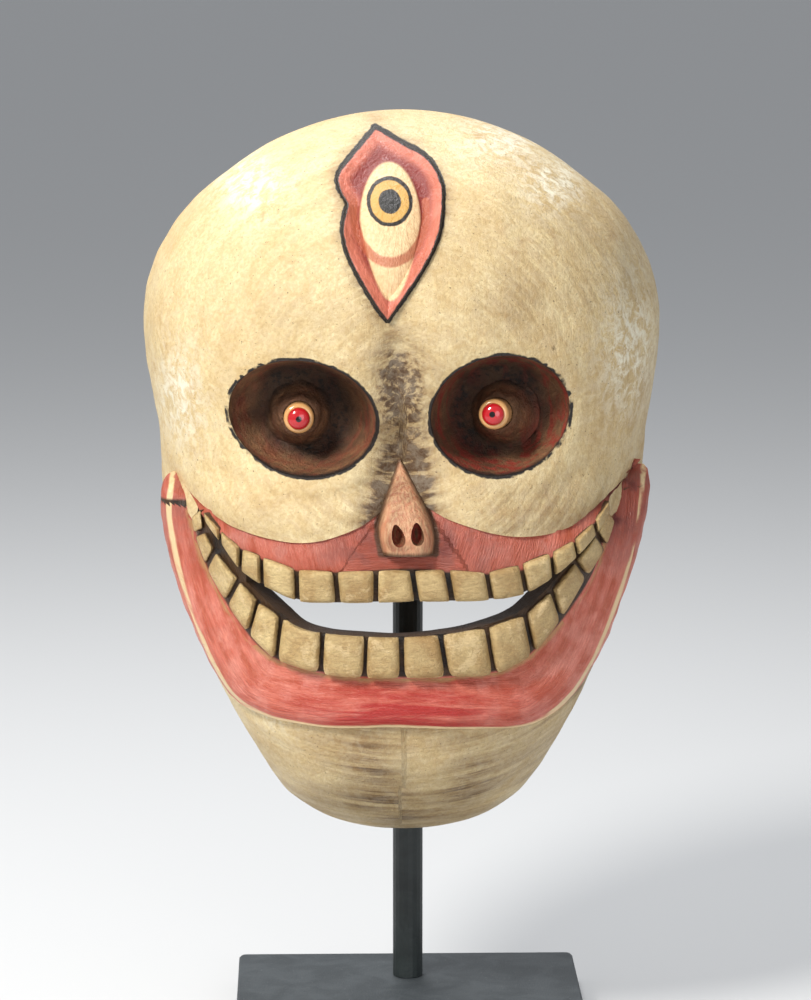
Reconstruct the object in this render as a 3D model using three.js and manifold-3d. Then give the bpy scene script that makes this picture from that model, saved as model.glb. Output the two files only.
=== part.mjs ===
// A papier-mache skull mask for a cham dance, standing on a steel rod and foot plate.
// Millimetres, +Z up, the face looks along -Y. The origin is the middle of the foot plate's underside.

import * as THREE from 'three';
import { mergeVertices } from 'three/addons/utils/BufferGeometryUtils.js';
import Module from 'manifold-3d';

const wasm = await Module();
wasm.setup();

// ---------------------------------------------------------------- driving dimensions

const gap = 0.3;                    // air left between neighbouring pieces

const base = { width: 152.4, depth: 127, height: 12.7, bevel: 1.0, corner: 2.5 };
const post = { radius: 6.65, y: 27.5, sides: 20 };
const crossArm = { radius: 4.8, halfLength: 50, clearance: 3.2, sides: 12 };
const chinProp = { radius: 4, z: 128, clearance: 1, sides: 12 };

const wall = 7;                     // thickness of the pulp shell
const mouthWall = 9;                // thickness of the wall that carries the teeth
const mouthWallRange = { low: [140, 165], high: [240, 222] };  // heights between which it thickens and thins

// The skull is a stack of level rings between two poles.
const crownZ = 402;
const chinZ = 92.5;
const centreX = -3;                 // the mask sits a little to one side of the rod
const ringBackY = 12;               // where the skull is widest, seen from above
const chinForward = 27;             // how much further forward the chin's widest ring lies
const frontSquareness = 2.3;        // exponent of each ring's front half, 2 is an ellipse
const backDepth = 84;               // reach of the widest ring behind its middle
const faceEdge = 1.22;              // azimuth in radians where the face turns into the sides
const faceShare = 0.32;             // how strongly the skull's meridians crowd onto the face

// Rings of the skull from chin to crown: height, half width, y of the front.
const rings = [
  { z: 98, half: 31, front: -38 },
  { z: 105, half: 43.8, front: -51 },
  { z: 112, half: 52, front: -60 },
  { z: 120, half: 58, front: -68 },
  { z: 134, half: 67, front: -77 },
  { z: 148, half: 75.5, front: -82 },
  { z: 172, half: 87, front: -84 },
  { z: 193, half: 94.5, front: -85 },
  { z: 214, half: 100.5, front: -84.5 },
  { z: 238, half: 104.5, front: -81 },
  { z: 253, half: 105, front: -79.5 },
  { z: 271, half: 106.3, front: -82 },
  { z: 285, half: 109, front: -85 },
  { z: 300, half: 111.3, front: -87.5 },
  { z: 315, half: 112, front: -88.5 },
  { z: 333, half: 108.5, front: -86.5 },
  { z: 351, half: 99.9, front: -79.5 },
  { z: 365, half: 89, front: -70.5 },
  { z: 378, half: 73, front: -57 },
  { z: 388, half: 57.5, front: -41 },
  { z: 396, half: 38, front: -21 },
];

// The open back is cut along a plane that leans forward to the chin.
const rimAtCrown = { y: 75, z: 395 };
const rimAtChin = { y: 0, z: 92 };

// Cheeks swell above the gums and end in an overhang.
const cheeks = [
  { x: -50, z: 236, swell: 8.5, halfWidth: 38, halfHeight: 24 },
  { x: 42, z: 236, swell: 8.5, halfWidth: 38, halfHeight: 24 },
];
const browFurrow = { x: -6, z: 288, depth: 4.5, halfWidth: 9, halfHeight: 40 };
const noseRoot = { x: -6, z: 266, depth: 4, halfWidth: 12, halfHeight: 13 };

// Lines of the mouth from the left corner to the right one, each through its own stations, as [x, z].
const mouthLines = {
  cheekLine: [[-101.5, 251], [-91, 241], [-73, 233.2], [-47, 229.6], [-24, 236], [-4, 247],
    [16, 238.8], [41, 232], [64, 233.2], [83, 243.5], [100, 253]],
  gumLine: [[-93, 241], [-86, 235.5], [-72.3, 226], [-50, 218.5], [-27, 218.5], [-4, 219.5],
    [18, 218], [42, 217.5], [62, 225], [76, 235], [86, 245]],
  toothFoot: [[-94, 238], [-88.5, 217.5], [-77, 197], [-60, 179], [-33, 173.3], [-6, 172.5],
    [20, 173], [42, 176], [61, 191], [76, 212], [86, 244]],
  lipEdge: [[-101.5, 251], [-102.5, 230], [-92.5, 190.5], [-74, 158], [-43, 151.2], [-8, 151.8],
    [24, 150.4], [51.5, 150.4], [73, 167.5], [91.5, 211], [100, 253]],
};
const lipRise = 4.5;                // the lip's rim stands this far off the skull
const lipFlare = 3;                 // and this much further at the mouth's corners
const lipTip = 2;                   // its rise at the very tips of the corners
const lipRoll = 0.8;                // and rounds off this much to its edge
const lipValley = -1.5;
const gumRecess = -3;
const gumSwell = 1.2;
const cornerPocket = -4.5;          // depth of the hollow inside each mouth corner
const cornerShare = 0.1;            // share of the mouth's length that each corner takes
const mouthFloor = -5.5;            // level that the mouth is built up from

// Edges of the upper and the lower row of teeth where they meet, as [x, z]; between the slot's ends they part.
const upperBite = [[-93, 240], [-83, 228], [-73, 215], [-60, 209], [-47, 204.8], [-20, 205.2], [0, 205.8],
  [22, 205.6], [45, 207], [56, 212], [66, 219], [76, 231], [86, 245]];
const lowerBite = [[-93, 239.5], [-83, 223.5], [-73, 211], [-60, 200.5], [-47, 192.8], [-20, 190.6], [0, 190.6],
  [22, 192.6], [43, 198], [56, 206.5], [66, 217], [76, 230], [86, 244.5]];
const slotEnds = [-73, 66];

const toothRise = 5;                // how far a tooth's face stands off the skull
const cornerTooth = 0.5;            // share of that rise left at the mouth's corners
const toothGap = 1.9;

// Sides of the teeth along each row, each as [x, z] of its top and [x, z] of its foot.
const upperTeethSides = [
  [-88.5, 239, -88, 235.5], [-81.1, 232.5, -80.7, 227.2], [-72.3, 226, -72.8, 216.5], [-63.6, 223.4, -63.3, 210.5],
  [-49.1, 218.8, -48.7, 204.5], [-33, 218.5, -31.8, 204.9], [-16, 218.9, -16.1, 205], [-1.1, 218.6, 0.9, 205.4],
  [13.3, 219.3, 15.8, 205.3], [29.9, 217.7, 32.1, 205.2], [44.1, 220.5, 46.8, 207.2], [57.2, 224.6, 58.6, 213.5],
  [67.1, 228.7, 68.5, 221.7], [75.9, 235.3, 77.3, 229.5], [83.4, 242.7, 83.7, 238],
];
const lowerTeethSides = [
  [-89.2, 240, -93.3, 235.5], [-88, 230.6, -92, 227.6], [-83.3, 222.8, -87, 214.3], [-73.3, 211.5, -78.6, 200.2],
  [-65.4, 203.1, -69.4, 188.5], [-55.8, 197, -58.1, 178.1], [-38, 192.2, -38.9, 173.7], [-20.2, 191, -21, 172.7],
  [-5.7, 190.7, -5.3, 172.8], [10.9, 191.4, 13.9, 173], [30, 193.7, 33.6, 172.8], [46.5, 198, 50.2, 180.4],
  [57.9, 207.5, 62.2, 194.6], [68, 219, 72.9, 211.2], [77.2, 229.5, 81.8, 222.2], [82.2, 239.3, 85.8, 233.6],
];

// Eye sockets: rim outline, the stump in the funnel behind it, and how the peg leans (x, z) and stands out.
const sockets = [
  {
    side: 'left', x: -46.4, z: 281, halfWidth: 31.3, halfHeight: 24.6, turn: -0.15,
    stump: { x: -47.5, z: 279 }, lean: { x: -0.01, z: 0.03 }, pegLength: 11,
  },
  {
    side: 'right', x: 36, z: 282, halfWidth: 29.8, halfHeight: 25.6, turn: 0.1,
    stump: { x: 37.5, z: 279.5 }, lean: { x: -0.2, z: 0.1 }, pegLength: 15,
  },
];
const socketDepth = 30;
const stump = { height: 13, footRadius: 14.5, topRadius: 8.2, sides: 14 };
const peg = { radius: 6.4, domeRadius: 4.6, domeRise: 2.4, seatDepth: 4, sides: 14 };

const nose = {
  top: { x: -5.8, z: 263 }, bottom: { x: -2.7, z: 225.5 }, halfWidths: [0.8, 5.2, 9.4, 12.1, 11.3], rise: 12.5,
};
const nostrils = [
  { x: -7.1, z: 234.3, lean: -0.25 },
  { x: 0.9, z: 235, lean: -0.08 },
];
const nostril = { halfWidth: 2.6, halfHeight: 4.8, depth: 8 };

// The third eye is a leaf with a nick in its left side, as [x, z] from corner to corner.
const thirdEye = {
  right: [[-15, 397], [-4, 391.5], [6.5, 386], [11.8, 377.5], [12.3, 369.5], [10.4, 357], [4, 344], [-11, 322]],
  leftLow: [[-11, 322], [-17, 330], [-26.3, 346.5], [-29.5, 358], [-27.5, 368.5]],
  leftHigh: [[-27.5, 368.5], [-31, 375], [-30, 381.5], [-15, 397]],
  centre: { x: -9.5, z: 364 },
  rise: 1.4,
  recess: 3,
};
const eyeball = { x: -9.7, z: 362, halfWidth: 13.5, top: 24, bottom: 34, rise: 1 };

// ---------------------------------------------------------------- the skull's form

const midZ = (crownZ + chinZ) / 2;
const halfTall = (crownZ - chinZ) / 2;

function clamp(value, low, high) {
  return Math.min(high, Math.max(low, value));
}

function smoothStep(low, high, value) {
  const t = clamp((value - low) / (high - low), 0, 1);
  return t * t * (3 - 2 * t);
}

function mix(a, b, t) {
  return a + (b - a) * t;
}

function bump(distance) {
  return Math.exp(-distance * distance);
}

/** Cubic through the values at the given positions, level at both ends. */
function throughValues(positions, values, at) {
  const last = positions.length - 1;
  const x = clamp(at, positions[0], positions[last]);
  let i = 1;
  while (i < last && positions[i] < x) i += 1;
  const slope = (k) => (k <= 0 || k >= last ? 0
    : (values[k + 1] - values[k - 1]) / (positions[k + 1] - positions[k - 1]));
  const step = positions[i] - positions[i - 1];
  const t = (x - positions[i - 1]) / step;
  const t2 = t * t;
  const t3 = t2 * t;
  return (2 * t3 - 3 * t2 + 1) * values[i - 1] + (t3 - 2 * t2 + t) * step * slope(i - 1)
    + (3 * t2 - 2 * t3) * values[i] + (t3 - t2) * step * slope(i);
}

/** Angle of the ring at a height, from 0 at the crown's pole to pi at the chin's. */
function ringAngle(z) {
  return Math.acos(clamp((z - midZ) / halfTall, -1, 1));
}

function ringCentreY(z) {
  return ringBackY - chinForward * smoothStep(250, 100, z);
}

const ringAngles = rings.map((ring) => ringAngle(ring.z)).reverse();
const ringWidths = rings.map((ring) => ring.half / Math.sin(ringAngle(ring.z))).reverse();
const ringDepths = rings
  .map((ring) => (ringCentreY(ring.z) - ring.front) / Math.sin(ringAngle(ring.z)))
  .reverse();

function halfWidth(z) {
  const angle = ringAngle(z);
  return Math.sin(angle) * throughValues(ringAngles, ringWidths, angle);
}

function frontDepth(z) {
  const angle = ringAngle(z);
  return Math.sin(angle) * throughValues(ringAngles, ringDepths, angle);
}

function backReach(z) {
  return Math.sin(ringAngle(z)) * backDepth;
}

/** Swellings and hollows added to the plain skull at a place on its front. */
function relief(x, z) {
  let rise = 0;
  for (const cheek of cheeks) {
    const across = (x - cheek.x) / cheek.halfWidth;
    const up = (z - cheek.z) / cheek.halfHeight;
    rise += cheek.swell * bump(across * across) * bump(up);
  }
  for (const hollow of [browFurrow, noseRoot]) {
    const across = (x - hollow.x) / hollow.halfWidth;
    const up = (z - hollow.z) / hollow.halfHeight;
    rise -= hollow.depth * bump(across) * bump(up * up);
  }
  return rise;
}

/**
 * Point of the skull at an azimuth (0 is the front, +-pi the back) and a height, raised in plan by an
 * offset, with the direction it is raised in.
 */
function skin(azimuth, z, offset) {
  const half = halfWidth(z);
  const facing = Math.cos(azimuth);
  const depth = facing >= 0 ? frontDepth(z) : backReach(z);
  const power = facing >= 0 ? 2 / frontSquareness : 1;
  const across = Math.sign(Math.sin(azimuth)) * Math.abs(Math.sin(azimuth)) ** power;
  const along = -Math.sign(facing) * Math.abs(facing) ** power;
  const normal = new THREE.Vector3(across / half, along / depth, 0).normalize();
  const x = centreX + half * across;
  const lift = offset + (facing > 0 ? relief(x, z) * smoothStep(0, 0.35, facing) : 0);
  const point = new THREE.Vector3(x, ringCentreY(z) + along * depth, z).addScaledVector(normal, lift);
  return { point, normal };
}

/**
 * Place on the skull's front at (x, z), raised by an offset. Past the face's edge it stands out sideways
 * from that edge, as the lips do.
 */
function onFace(x, z, offset) {
  const side = Math.sign(x - centreX) || 1;
  let low = 0;
  let high = faceEdge;
  for (let i = 0; i < 22; i += 1) {
    const middle = (low + high) / 2;
    if (Math.abs(skin(side * middle, z, offset).point.x - centreX) < Math.abs(x - centreX)) low = middle;
    else high = middle;
  }
  const place = skin(side * low, z, offset);
  place.point.x = x;
  return place;
}

// ---------------------------------------------------------------- solids

function toManifold(geometry) {
  const bare = geometry.clone();
  bare.deleteAttribute('normal');
  bare.deleteAttribute('uv');
  const merged = mergeVertices(bare, 1e-4);
  const index = merged.index.array;
  const faces = [];
  for (let i = 0; i < index.length; i += 3) {
    const [a, b, c] = [index[i], index[i + 1], index[i + 2]];
    if (a !== b && b !== c && a !== c) faces.push(a, b, c);
  }
  return new wasm.Manifold(new wasm.Mesh({
    numProp: 3,
    vertProperties: new Float32Array(merged.attributes.position.array),
    triVerts: new Uint32Array(faces),
  }));
}

function toGeometry(solid) {
  const mesh = solid.getMesh();
  const geometry = new THREE.BufferGeometry();
  geometry.setAttribute('position', new THREE.BufferAttribute(mesh.vertProperties, 3));
  geometry.setIndex(new THREE.BufferAttribute(mesh.triVerts, 1));
  geometry.computeVertexNormals();
  return geometry;
}

/** Moves every vertex of a three.js geometry to where the function puts it. */
function shaped(geometry, place) {
  const positions = geometry.attributes.position;
  const point = new THREE.Vector3();
  for (let i = 0; i < positions.count; i += 1) {
    point.fromBufferAttribute(positions, i);
    const moved = place(point.clone());
    positions.setXYZ(i, moved.x, moved.y, moved.z);
  }
  return geometry;
}

/** A closed egg: a unit sphere with its poles on Z, placed by azimuth and polar angle. */
function egg(around, rows, place) {
  const sphere = new THREE.SphereGeometry(1, around, rows);
  sphere.rotateX(Math.PI / 2);
  return toManifold(shaped(sphere, (p) => {
    const polar = Math.acos(clamp(p.z, -1, 1));
    const azimuth = Math.hypot(p.x, p.y) < 1e-6 ? 0 : Math.atan2(p.x, -p.y);
    return place(azimuth, polar);
  }));
}

/** A closed slab: a unit box divided into columns and rows, placed by (u, v) and front or back. */
function slab(columns, rows, place) {
  const box = new THREE.BoxGeometry(1, 1, 1, columns, rows, 1);
  return toManifold(shaped(box, (p) => place(p.x + 0.5, 0.5 - p.y, p.z > 0)));
}

/**
 * A slab over the skull's front, placed by what the function gives at (u, v): x and z at the level called
 * anchor, the level of its face and the level of its back.
 */
function faceSlab(columns, rows, at) {
  return slab(columns, rows, (u, v, front) => {
    const { x, z, face, back, anchor = face } = at(u, v);
    const { point, normal } = onFace(x, z, anchor);
    return point.addScaledVector(normal, (front ? face : back) - anchor);
  });
}

/** More vertices on the face than behind it, where the azimuth runs from -pi to pi. */
function crowdForward(azimuth) {
  return azimuth - faceShare * Math.sin(azimuth) * Math.abs(Math.cos(azimuth / 2));
}

function skullBody() {
  return egg(36, 28, (azimuth, polar) => {
    const z = midZ + halfTall * Math.cos(polar);
    if (Math.sin(polar) < 1e-4) return new THREE.Vector3(centreX, ringCentreY(z), z);
    return skin(crowdForward(azimuth), z, 0).point;
  });
}

/** Air inside the shell: the skull again, smaller by its wall. */
function skullHollow() {
  const shrink = (halfTall - wall) / halfTall;
  return egg(22, 15, (azimuth, polar) => {
    const z = midZ + halfTall * Math.cos(polar);
    const insideZ = midZ + (z - midZ) * shrink;
    if (Math.sin(polar) < 1e-4) return new THREE.Vector3(centreX, ringCentreY(z), insideZ);
    const heading = crowdForward(azimuth);
    const behindTeeth = smoothStep(...mouthWallRange.low, z) * smoothStep(...mouthWallRange.high, z)
      * smoothStep(0.1, 0.5, Math.cos(heading));
    const { point } = skin(heading, z, -mix(wall, mouthWall, behindTeeth));
    point.z = insideZ;
    return point;
  });
}

/** Everything behind the rim plane. */
function behindRim() {
  const reach = 400;
  const lean = Math.atan2(rimAtCrown.y - rimAtChin.y, rimAtCrown.z - rimAtChin.z);
  const box = new THREE.BoxGeometry(reach, reach, 2 * reach);
  box.translate(0, reach / 2, 0);
  box.rotateX(-lean);
  box.translate(0, rimAtChin.y, rimAtChin.z);
  return toManifold(box);
}

/** Smooth value through evenly spaced stations, free at both ends. */
function throughEven(values, t) {
  const last = values.length - 1;
  const place = clamp(t, 0, 1) * last;
  const i = Math.min(last - 1, Math.floor(place));
  const f = place - i;
  const p0 = i > 0 ? values[i - 1] : 2 * values[0] - values[1];
  const p1 = values[i];
  const p2 = values[i + 1];
  const p3 = i + 2 <= last ? values[i + 2] : 2 * values[last] - values[last - 1];
  return p1 + 0.5 * f * (p2 - p0 + f * (2 * p0 - 5 * p1 + 4 * p2 - p3 + f * (3 * (p1 - p2) + p3 - p0)));
}

/** Point of a line through its stations, with t from 0 to 1. */
function alongLine(line, t) {
  return {
    x: throughEven(line.map((station) => station[0]), t),
    z: throughEven(line.map((station) => station[1]), t),
  };
}

/** Height of a line where it passes x; the lines run from left to right. */
function heightAt(line, x) {
  let low = 0;
  let high = 1;
  for (let i = 0; i < 24; i += 1) {
    const middle = (low + high) / 2;
    if (alongLine(line, middle).x < x) low = middle;
    else high = middle;
  }
  return alongLine(line, low).z;
}

// ---------------------------------------------------------------- mouth

/** Place across the mouth: v runs from the cheek line (0) over gum, teeth and lip to the lip's edge (1). */
function mouthPlace(u, v) {
  const { cheekLine, gumLine, toothFoot, lipEdge } = mouthLines;
  const lines = [cheekLine, gumLine, toothFoot, lipEdge];
  const band = Math.min(2, Math.floor(v * 3));
  const t = v * 3 - band;
  const from = alongLine(lines[band], u);
  const to = alongLine(lines[band + 1], u);
  return { x: mix(from.x, to.x, t), z: mix(from.z, to.z, t), band, t };
}

/** Height of the gums and lips over the skull. */
function mouthRise(u, v) {
  const { band, t } = mouthPlace(u, v);
  const cornerness = 1 - smoothStep(0, cornerShare, Math.min(u, 1 - u));
  const fromTip = clamp(Math.min(u, 1 - u) / (cornerShare / 2), 0, 1);
  const arch = Math.sqrt(1 - (1 - fromTip) ** 2);
  const rimRise = mix(lipTip, lipRise + lipFlare * (2 * u - 1) ** 2, arch);
  if (band === 0) {
    const gum = mix(gumRecess, gumSwell, Math.sin(t * Math.PI / 2));
    return mix(gum, mix(gumRecess / 2, cornerPocket, t), cornerness);
  }
  if (band === 1) return cornerPocket * cornerness;
  const valley = mix(lipValley, cornerPocket, cornerness);
  return mix(valley, rimRise, smoothStep(0, 0.75, t)) - lipRoll * smoothStep(0.8, 1, t);
}

/** Gums and lips, built up from below the mouth's floor and tucked under the cheeks. */
function mouthBed() {
  const tuck = 2;
  const rows = [0, 0.17, 1 / 3, 2 / 3, 0.78, 0.9, 1];
  return faceSlab(30, rows.length - 1, (u, v) => {
    const across = rows[Math.round(v * (rows.length - 1))];
    const { x, z } = mouthPlace(u, across);
    const underCheek = across === 0 ? tuck : 0;
    return { x, z: z + underCheek, face: mouthRise(u, across), back: mouthFloor - 1, anchor: 0 };
  });
}

/** The lens between the cheek line and the middle of the lip, cleared down to the mouth's floor. */
function mouthClearance() {
  const lens = 0.8;
  const blunt = 0.03;
  return faceSlab(30, 3, (u, v) => {
    const { x, z } = mouthPlace(mix(blunt, 1 - blunt, u), v * lens);
    return { x, z, face: 20, back: mouthFloor, anchor: 0 };
  });
}

/** The slot between the two rows of teeth, right through the wall. */
function mouthSlot() {
  const [left, right] = slotEnds;
  return faceSlab(18, 1, (u, v) => {
    const x = mix(left, right, u);
    const z = heightAt(v < 0.5 ? upperBite : lowerBite, x);
    return { x, z, face: 15, back: -25, anchor: toothRise };
  });
}

/** Point between two sides of a tooth at their top (end 0) or foot (end 2), clear of the teeth beside it. */
function betweenSides(left, right, end, share) {
  const length = Math.hypot(right[end] - left[end], right[end + 1] - left[end + 1]);
  const inset = Math.min(0.2, toothGap / 2 / length);
  const at = mix(inset, 1 - inset, share);
  return { x: mix(left[end], right[end], at), z: mix(left[end + 1], right[end + 1], at) };
}

/** One tooth: a cushion between two of its row's sides. */
function tooth(left, right) {
  const places = [0, 0.18, 0.82, 1];
  const rises = [0.45, 1, 1, 0.45];
  return faceSlab(3, 3, (u, v) => {
    const column = Math.round(u * 3);
    const row = Math.round(v * 3);
    const top = betweenSides(left, right, 0, places[column]);
    const foot = betweenSides(left, right, 2, places[column]);
    const x = mix(top.x, foot.x, places[row]);
    const z = mix(top.z, foot.z, places[row]);
    const crown = toothRise * mix(1, cornerTooth, smoothStep(66, 88, Math.abs(x - centreX)));
    return { x, z, face: crown * Math.min(rises[column], rises[row]), back: mouthFloor };
  });
}

function rowOfTeeth(sides) {
  return sides.slice(1).map((right, i) => tooth(sides[i], right));
}

// ---------------------------------------------------------------- eyes and nose

/**
 * A closed body of rings between two poles. Each step gives a ring's share of the outline and
 * its level, and the first and last steps are the poles.
 */
function plug(around, steps, place) {
  const rows = steps.length - 1;
  return egg(around, rows, (azimuth, polar) => {
    const step = steps[Math.round((polar / Math.PI) * rows)];
    return place(-azimuth, step.share, step.level);
  });
}

/** A socket's outline in the front view, scaled by a share. */
function socketOutline(socket, azimuth, share) {
  const across = Math.sin(azimuth) * socket.halfWidth * share;
  const up = Math.cos(azimuth) * socket.halfHeight * share;
  const c = Math.cos(socket.turn);
  const s = Math.sin(socket.turn);
  return { x: socket.x + across * c - up * s, z: socket.z + across * s + up * c };
}

/** Funnel of a socket; grown by the wall it is the outside of the socket's pocket. */
function socketFunnel(socket, grow) {
  const floorY = onFace(socket.x, socket.z, 0).point.y + socketDepth + grow;
  const steps = [
    { share: 0, level: -0.5 },
    { share: 1.02, level: -0.5 },
    { share: 1, level: 0 },
    { share: 0.92, level: 0.4 },
    { share: 0.8, level: 0.78 },
    { share: 0.6, level: 0.97 },
    { share: 0, level: 1 },
  ];
  const wider = 1 + grow / socket.halfHeight;
  return plug(grow > 0 ? 16 : 24, steps, (azimuth, share, level) => {
    const { x, z } = socketOutline(socket, azimuth, share * wider);
    const rimY = onFace(x, z, 0).point.y;
    return new THREE.Vector3(x, mix(rimY, floorY, level), z);
  });
}

/** Turns and moves a body that points along +Z so that it points out of the face with a lean. */
function pointOutwards(geometry, origin, lean) {
  const aim = new THREE.Vector3(lean.x, -1, lean.z).normalize();
  const turn = new THREE.Quaternion().setFromUnitVectors(new THREE.Vector3(0, 0, 1), aim);
  geometry.applyQuaternion(turn);
  geometry.translate(origin.x, origin.y, origin.z);
  return geometry;
}

/** Lathe work about +Z from [radius, height] pairs. */
function turned(profile, sides) {
  const points = profile.map(([radius, height]) => new THREE.Vector2(radius, height));
  return new THREE.LatheGeometry(points, sides).rotateX(Math.PI / 2);
}

/** Where a socket's stump stands on the funnel's floor. */
function stumpFoot(socket) {
  const floorY = onFace(socket.x, socket.z, 0).point.y + socketDepth;
  return new THREE.Vector3(socket.stump.x, floorY, socket.stump.z);
}

function socketStump(socket) {
  const { height, footRadius, topRadius, sides } = stump;
  const profile = [[0, -3], [footRadius, -3], [footRadius, 1], [mix(footRadius, topRadius, 0.55), height * 0.4],
    [topRadius, height - 1.5], [topRadius - 1, height], [0, height]];
  return toManifold(pointOutwards(turned(profile, sides), stumpFoot(socket), socket.lean));
}

/** Outline of a peg that stands a gap above the bottom of its seat, or with grow of the seat around it. */
function pegProfile(socket, grow) {
  const { radius, domeRadius, domeRise, seatDepth } = peg;
  const foot = stump.height - seatDepth;
  const front = foot + socket.pegLength;
  if (grow > 0) return [[0, foot], [radius + grow, foot], [radius + grow, front], [0, front]];
  const profile = [[0, foot + gap], [radius - 0.6, foot + gap], [radius, foot + gap + 0.6],
    [radius, front - 1.8], [radius - 0.5, front - 0.7], [domeRadius, front]];
  const arcs = 3;
  for (let i = 1; i <= arcs; i += 1) {
    const turn = (i / arcs) * (Math.PI / 2);
    profile.push([i === arcs ? 0 : domeRadius * Math.cos(turn), front + domeRise * Math.sin(turn)]);
  }
  return profile;
}

function pegGeometry(socket, grow) {
  return pointOutwards(turned(pegProfile(socket, grow), peg.sides), stumpFoot(socket), socket.lean);
}

function noseBody() {
  return faceSlab(6, 7, (u, v) => {
    const side = 2 * u - 1;
    const swell = Math.sin(v * Math.PI / 2);
    const ridge = nose.rise * swell * (1 - 0.25 * smoothStep(0.8, 1, v));
    const round = (1 - Math.abs(side) ** 3) ** 0.6;
    const x = mix(nose.top.x, nose.bottom.x, v) + side * throughEven(nose.halfWidths, v);
    return { x, z: mix(nose.top.z, nose.bottom.z, v), face: mix(-4, ridge, round), back: -7 };
  });
}

function nostrilHole(place) {
  const front = onFace(place.x, place.z, nose.rise).point;
  const sphere = new THREE.SphereGeometry(1, 10, 8);
  sphere.scale(nostril.halfWidth, nostril.depth, nostril.halfHeight);
  sphere.rotateY(place.lean);
  sphere.translate(front.x, front.y + 1, front.z);
  return toManifold(sphere);
}

/** Outline of the third eye, scaled by a share towards its centre. */
function leafOutline(azimuth, share) {
  const around = ((azimuth / (2 * Math.PI)) % 1 + 1) % 1;
  let p;
  if (around < 0.5) p = alongLine(thirdEye.right, around / 0.5);
  else if (around < 0.78) p = alongLine(thirdEye.leftLow, (around - 0.5) / 0.28);
  else p = alongLine(thirdEye.leftHigh, (around - 0.78) / 0.22);
  const { x, z } = thirdEye.centre;
  return { x: mix(x, p.x, share), z: mix(z, p.z, share) };
}

function leaf(steps) {
  return plug(26, steps, (azimuth, share, level) => {
    const { x, z } = leafOutline(azimuth, share);
    return onFace(x, z, level).point;
  });
}

function thirdEyeClearance() {
  return leaf([
    { share: 0, level: 12 }, { share: 1, level: 12 }, { share: 1, level: -5 }, { share: 0, level: -5 },
  ]);
}

function thirdEyeRim() {
  const { rise, recess } = thirdEye;
  return leaf([
    { share: 0, level: -recess }, { share: 0.72, level: -recess }, { share: 0.9, level: 0 },
    { share: 0.97, level: rise }, { share: 1.01, level: rise * 0.6 }, { share: 1.01, level: -6 },
    { share: 0, level: -6 },
  ]);
}

function eyeballBody() {
  const steps = [
    { share: 0, level: eyeball.rise }, { share: 0.5, level: eyeball.rise * 0.6 },
    { share: 0.8, level: -1 }, { share: 1, level: -thirdEye.recess },
    { share: 1, level: -6 }, { share: 0, level: -6 },
  ];
  return plug(16, steps, (azimuth, share, level) => {
    const up = Math.cos(azimuth);
    const reach = up > 0 ? eyeball.top : eyeball.bottom;
    const taper = up < 0 ? 1 + 0.35 * up : 1;
    const x = eyeball.x + Math.sin(azimuth) * eyeball.halfWidth * taper * share;
    return onFace(x, eyeball.z + up * reach * share, level).point;
  });
}

// ---------------------------------------------------------------- the mask

function maskSolid() {
  let skull = skullBody().subtract(mouthClearance()).add(mouthBed());
  for (const block of [...rowOfTeeth(upperTeethSides), ...rowOfTeeth(lowerTeethSides)]) skull = skull.add(block);
  skull = skull.add(noseBody());
  skull = skull.subtract(thirdEyeClearance()).add(thirdEyeRim()).add(eyeballBody());
  let mask = skull.subtract(skullHollow());
  for (const socket of sockets) mask = mask.add(socketFunnel(socket, wall).intersect(skull));
  for (const socket of sockets) {
    mask = mask.subtract(socketFunnel(socket, 0)).add(socketStump(socket));
    mask = mask.subtract(toManifold(pegGeometry(socket, gap)));
  }
  for (const place of nostrils) mask = mask.subtract(nostrilHole(place));
  return mask.subtract(mouthSlot()).subtract(behindRim());
}

// ---------------------------------------------------------------- the stand

/** Height on the skull that a height on its hollow was shrunk from. */
function skullHeight(z) {
  return midZ + (z - midZ) * halfTall / (halfTall - wall);
}

/** Half width of the shell's hollow at a height, in the plane of the rod. */
function hollowHalfWidth(z) {
  const skullZ = skullHeight(z);
  if (skullZ > crownZ - 1) return 0;
  const reach = (post.y - ringCentreY(skullZ)) / (backReach(skullZ) - wall);
  return (halfWidth(skullZ) - wall) * Math.sqrt(Math.max(0, 1 - reach * reach));
}

/** Height of the cross arm at which its two tips carry the crown. */
function crossArmHeight() {
  let z = crownZ;
  while (hollowHalfWidth(z + crossArm.radius * 0.7) < crossArm.halfLength + crossArm.clearance) z -= 0.1;
  return z;
}

function rod(radius, length, sides) {
  return new THREE.CylinderGeometry(radius, radius, length, sides);
}

function standPost() {
  const top = crossArmHeight();
  const foot = base.height + gap;
  const upright = rod(post.radius, top - foot, post.sides).rotateX(Math.PI / 2);
  upright.translate(0, post.y, (top + foot) / 2);
  const straight = 2 * (crossArm.halfLength - crossArm.radius);
  const arm = new THREE.CapsuleGeometry(crossArm.radius, straight, 3, crossArm.sides).rotateZ(Math.PI / 2);
  arm.translate(centreX, post.y, top);
  const chinInside = onFace(0, skullHeight(chinProp.z - chinProp.radius), -wall).point.y + chinProp.clearance;
  const propLength = post.y - chinInside;
  const prop = rod(chinProp.radius, propLength, chinProp.sides);
  prop.translate(0, chinInside + propLength / 2, chinProp.z);
  return toManifold(upright).add(toManifold(arm)).add(toManifold(prop));
}

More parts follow.
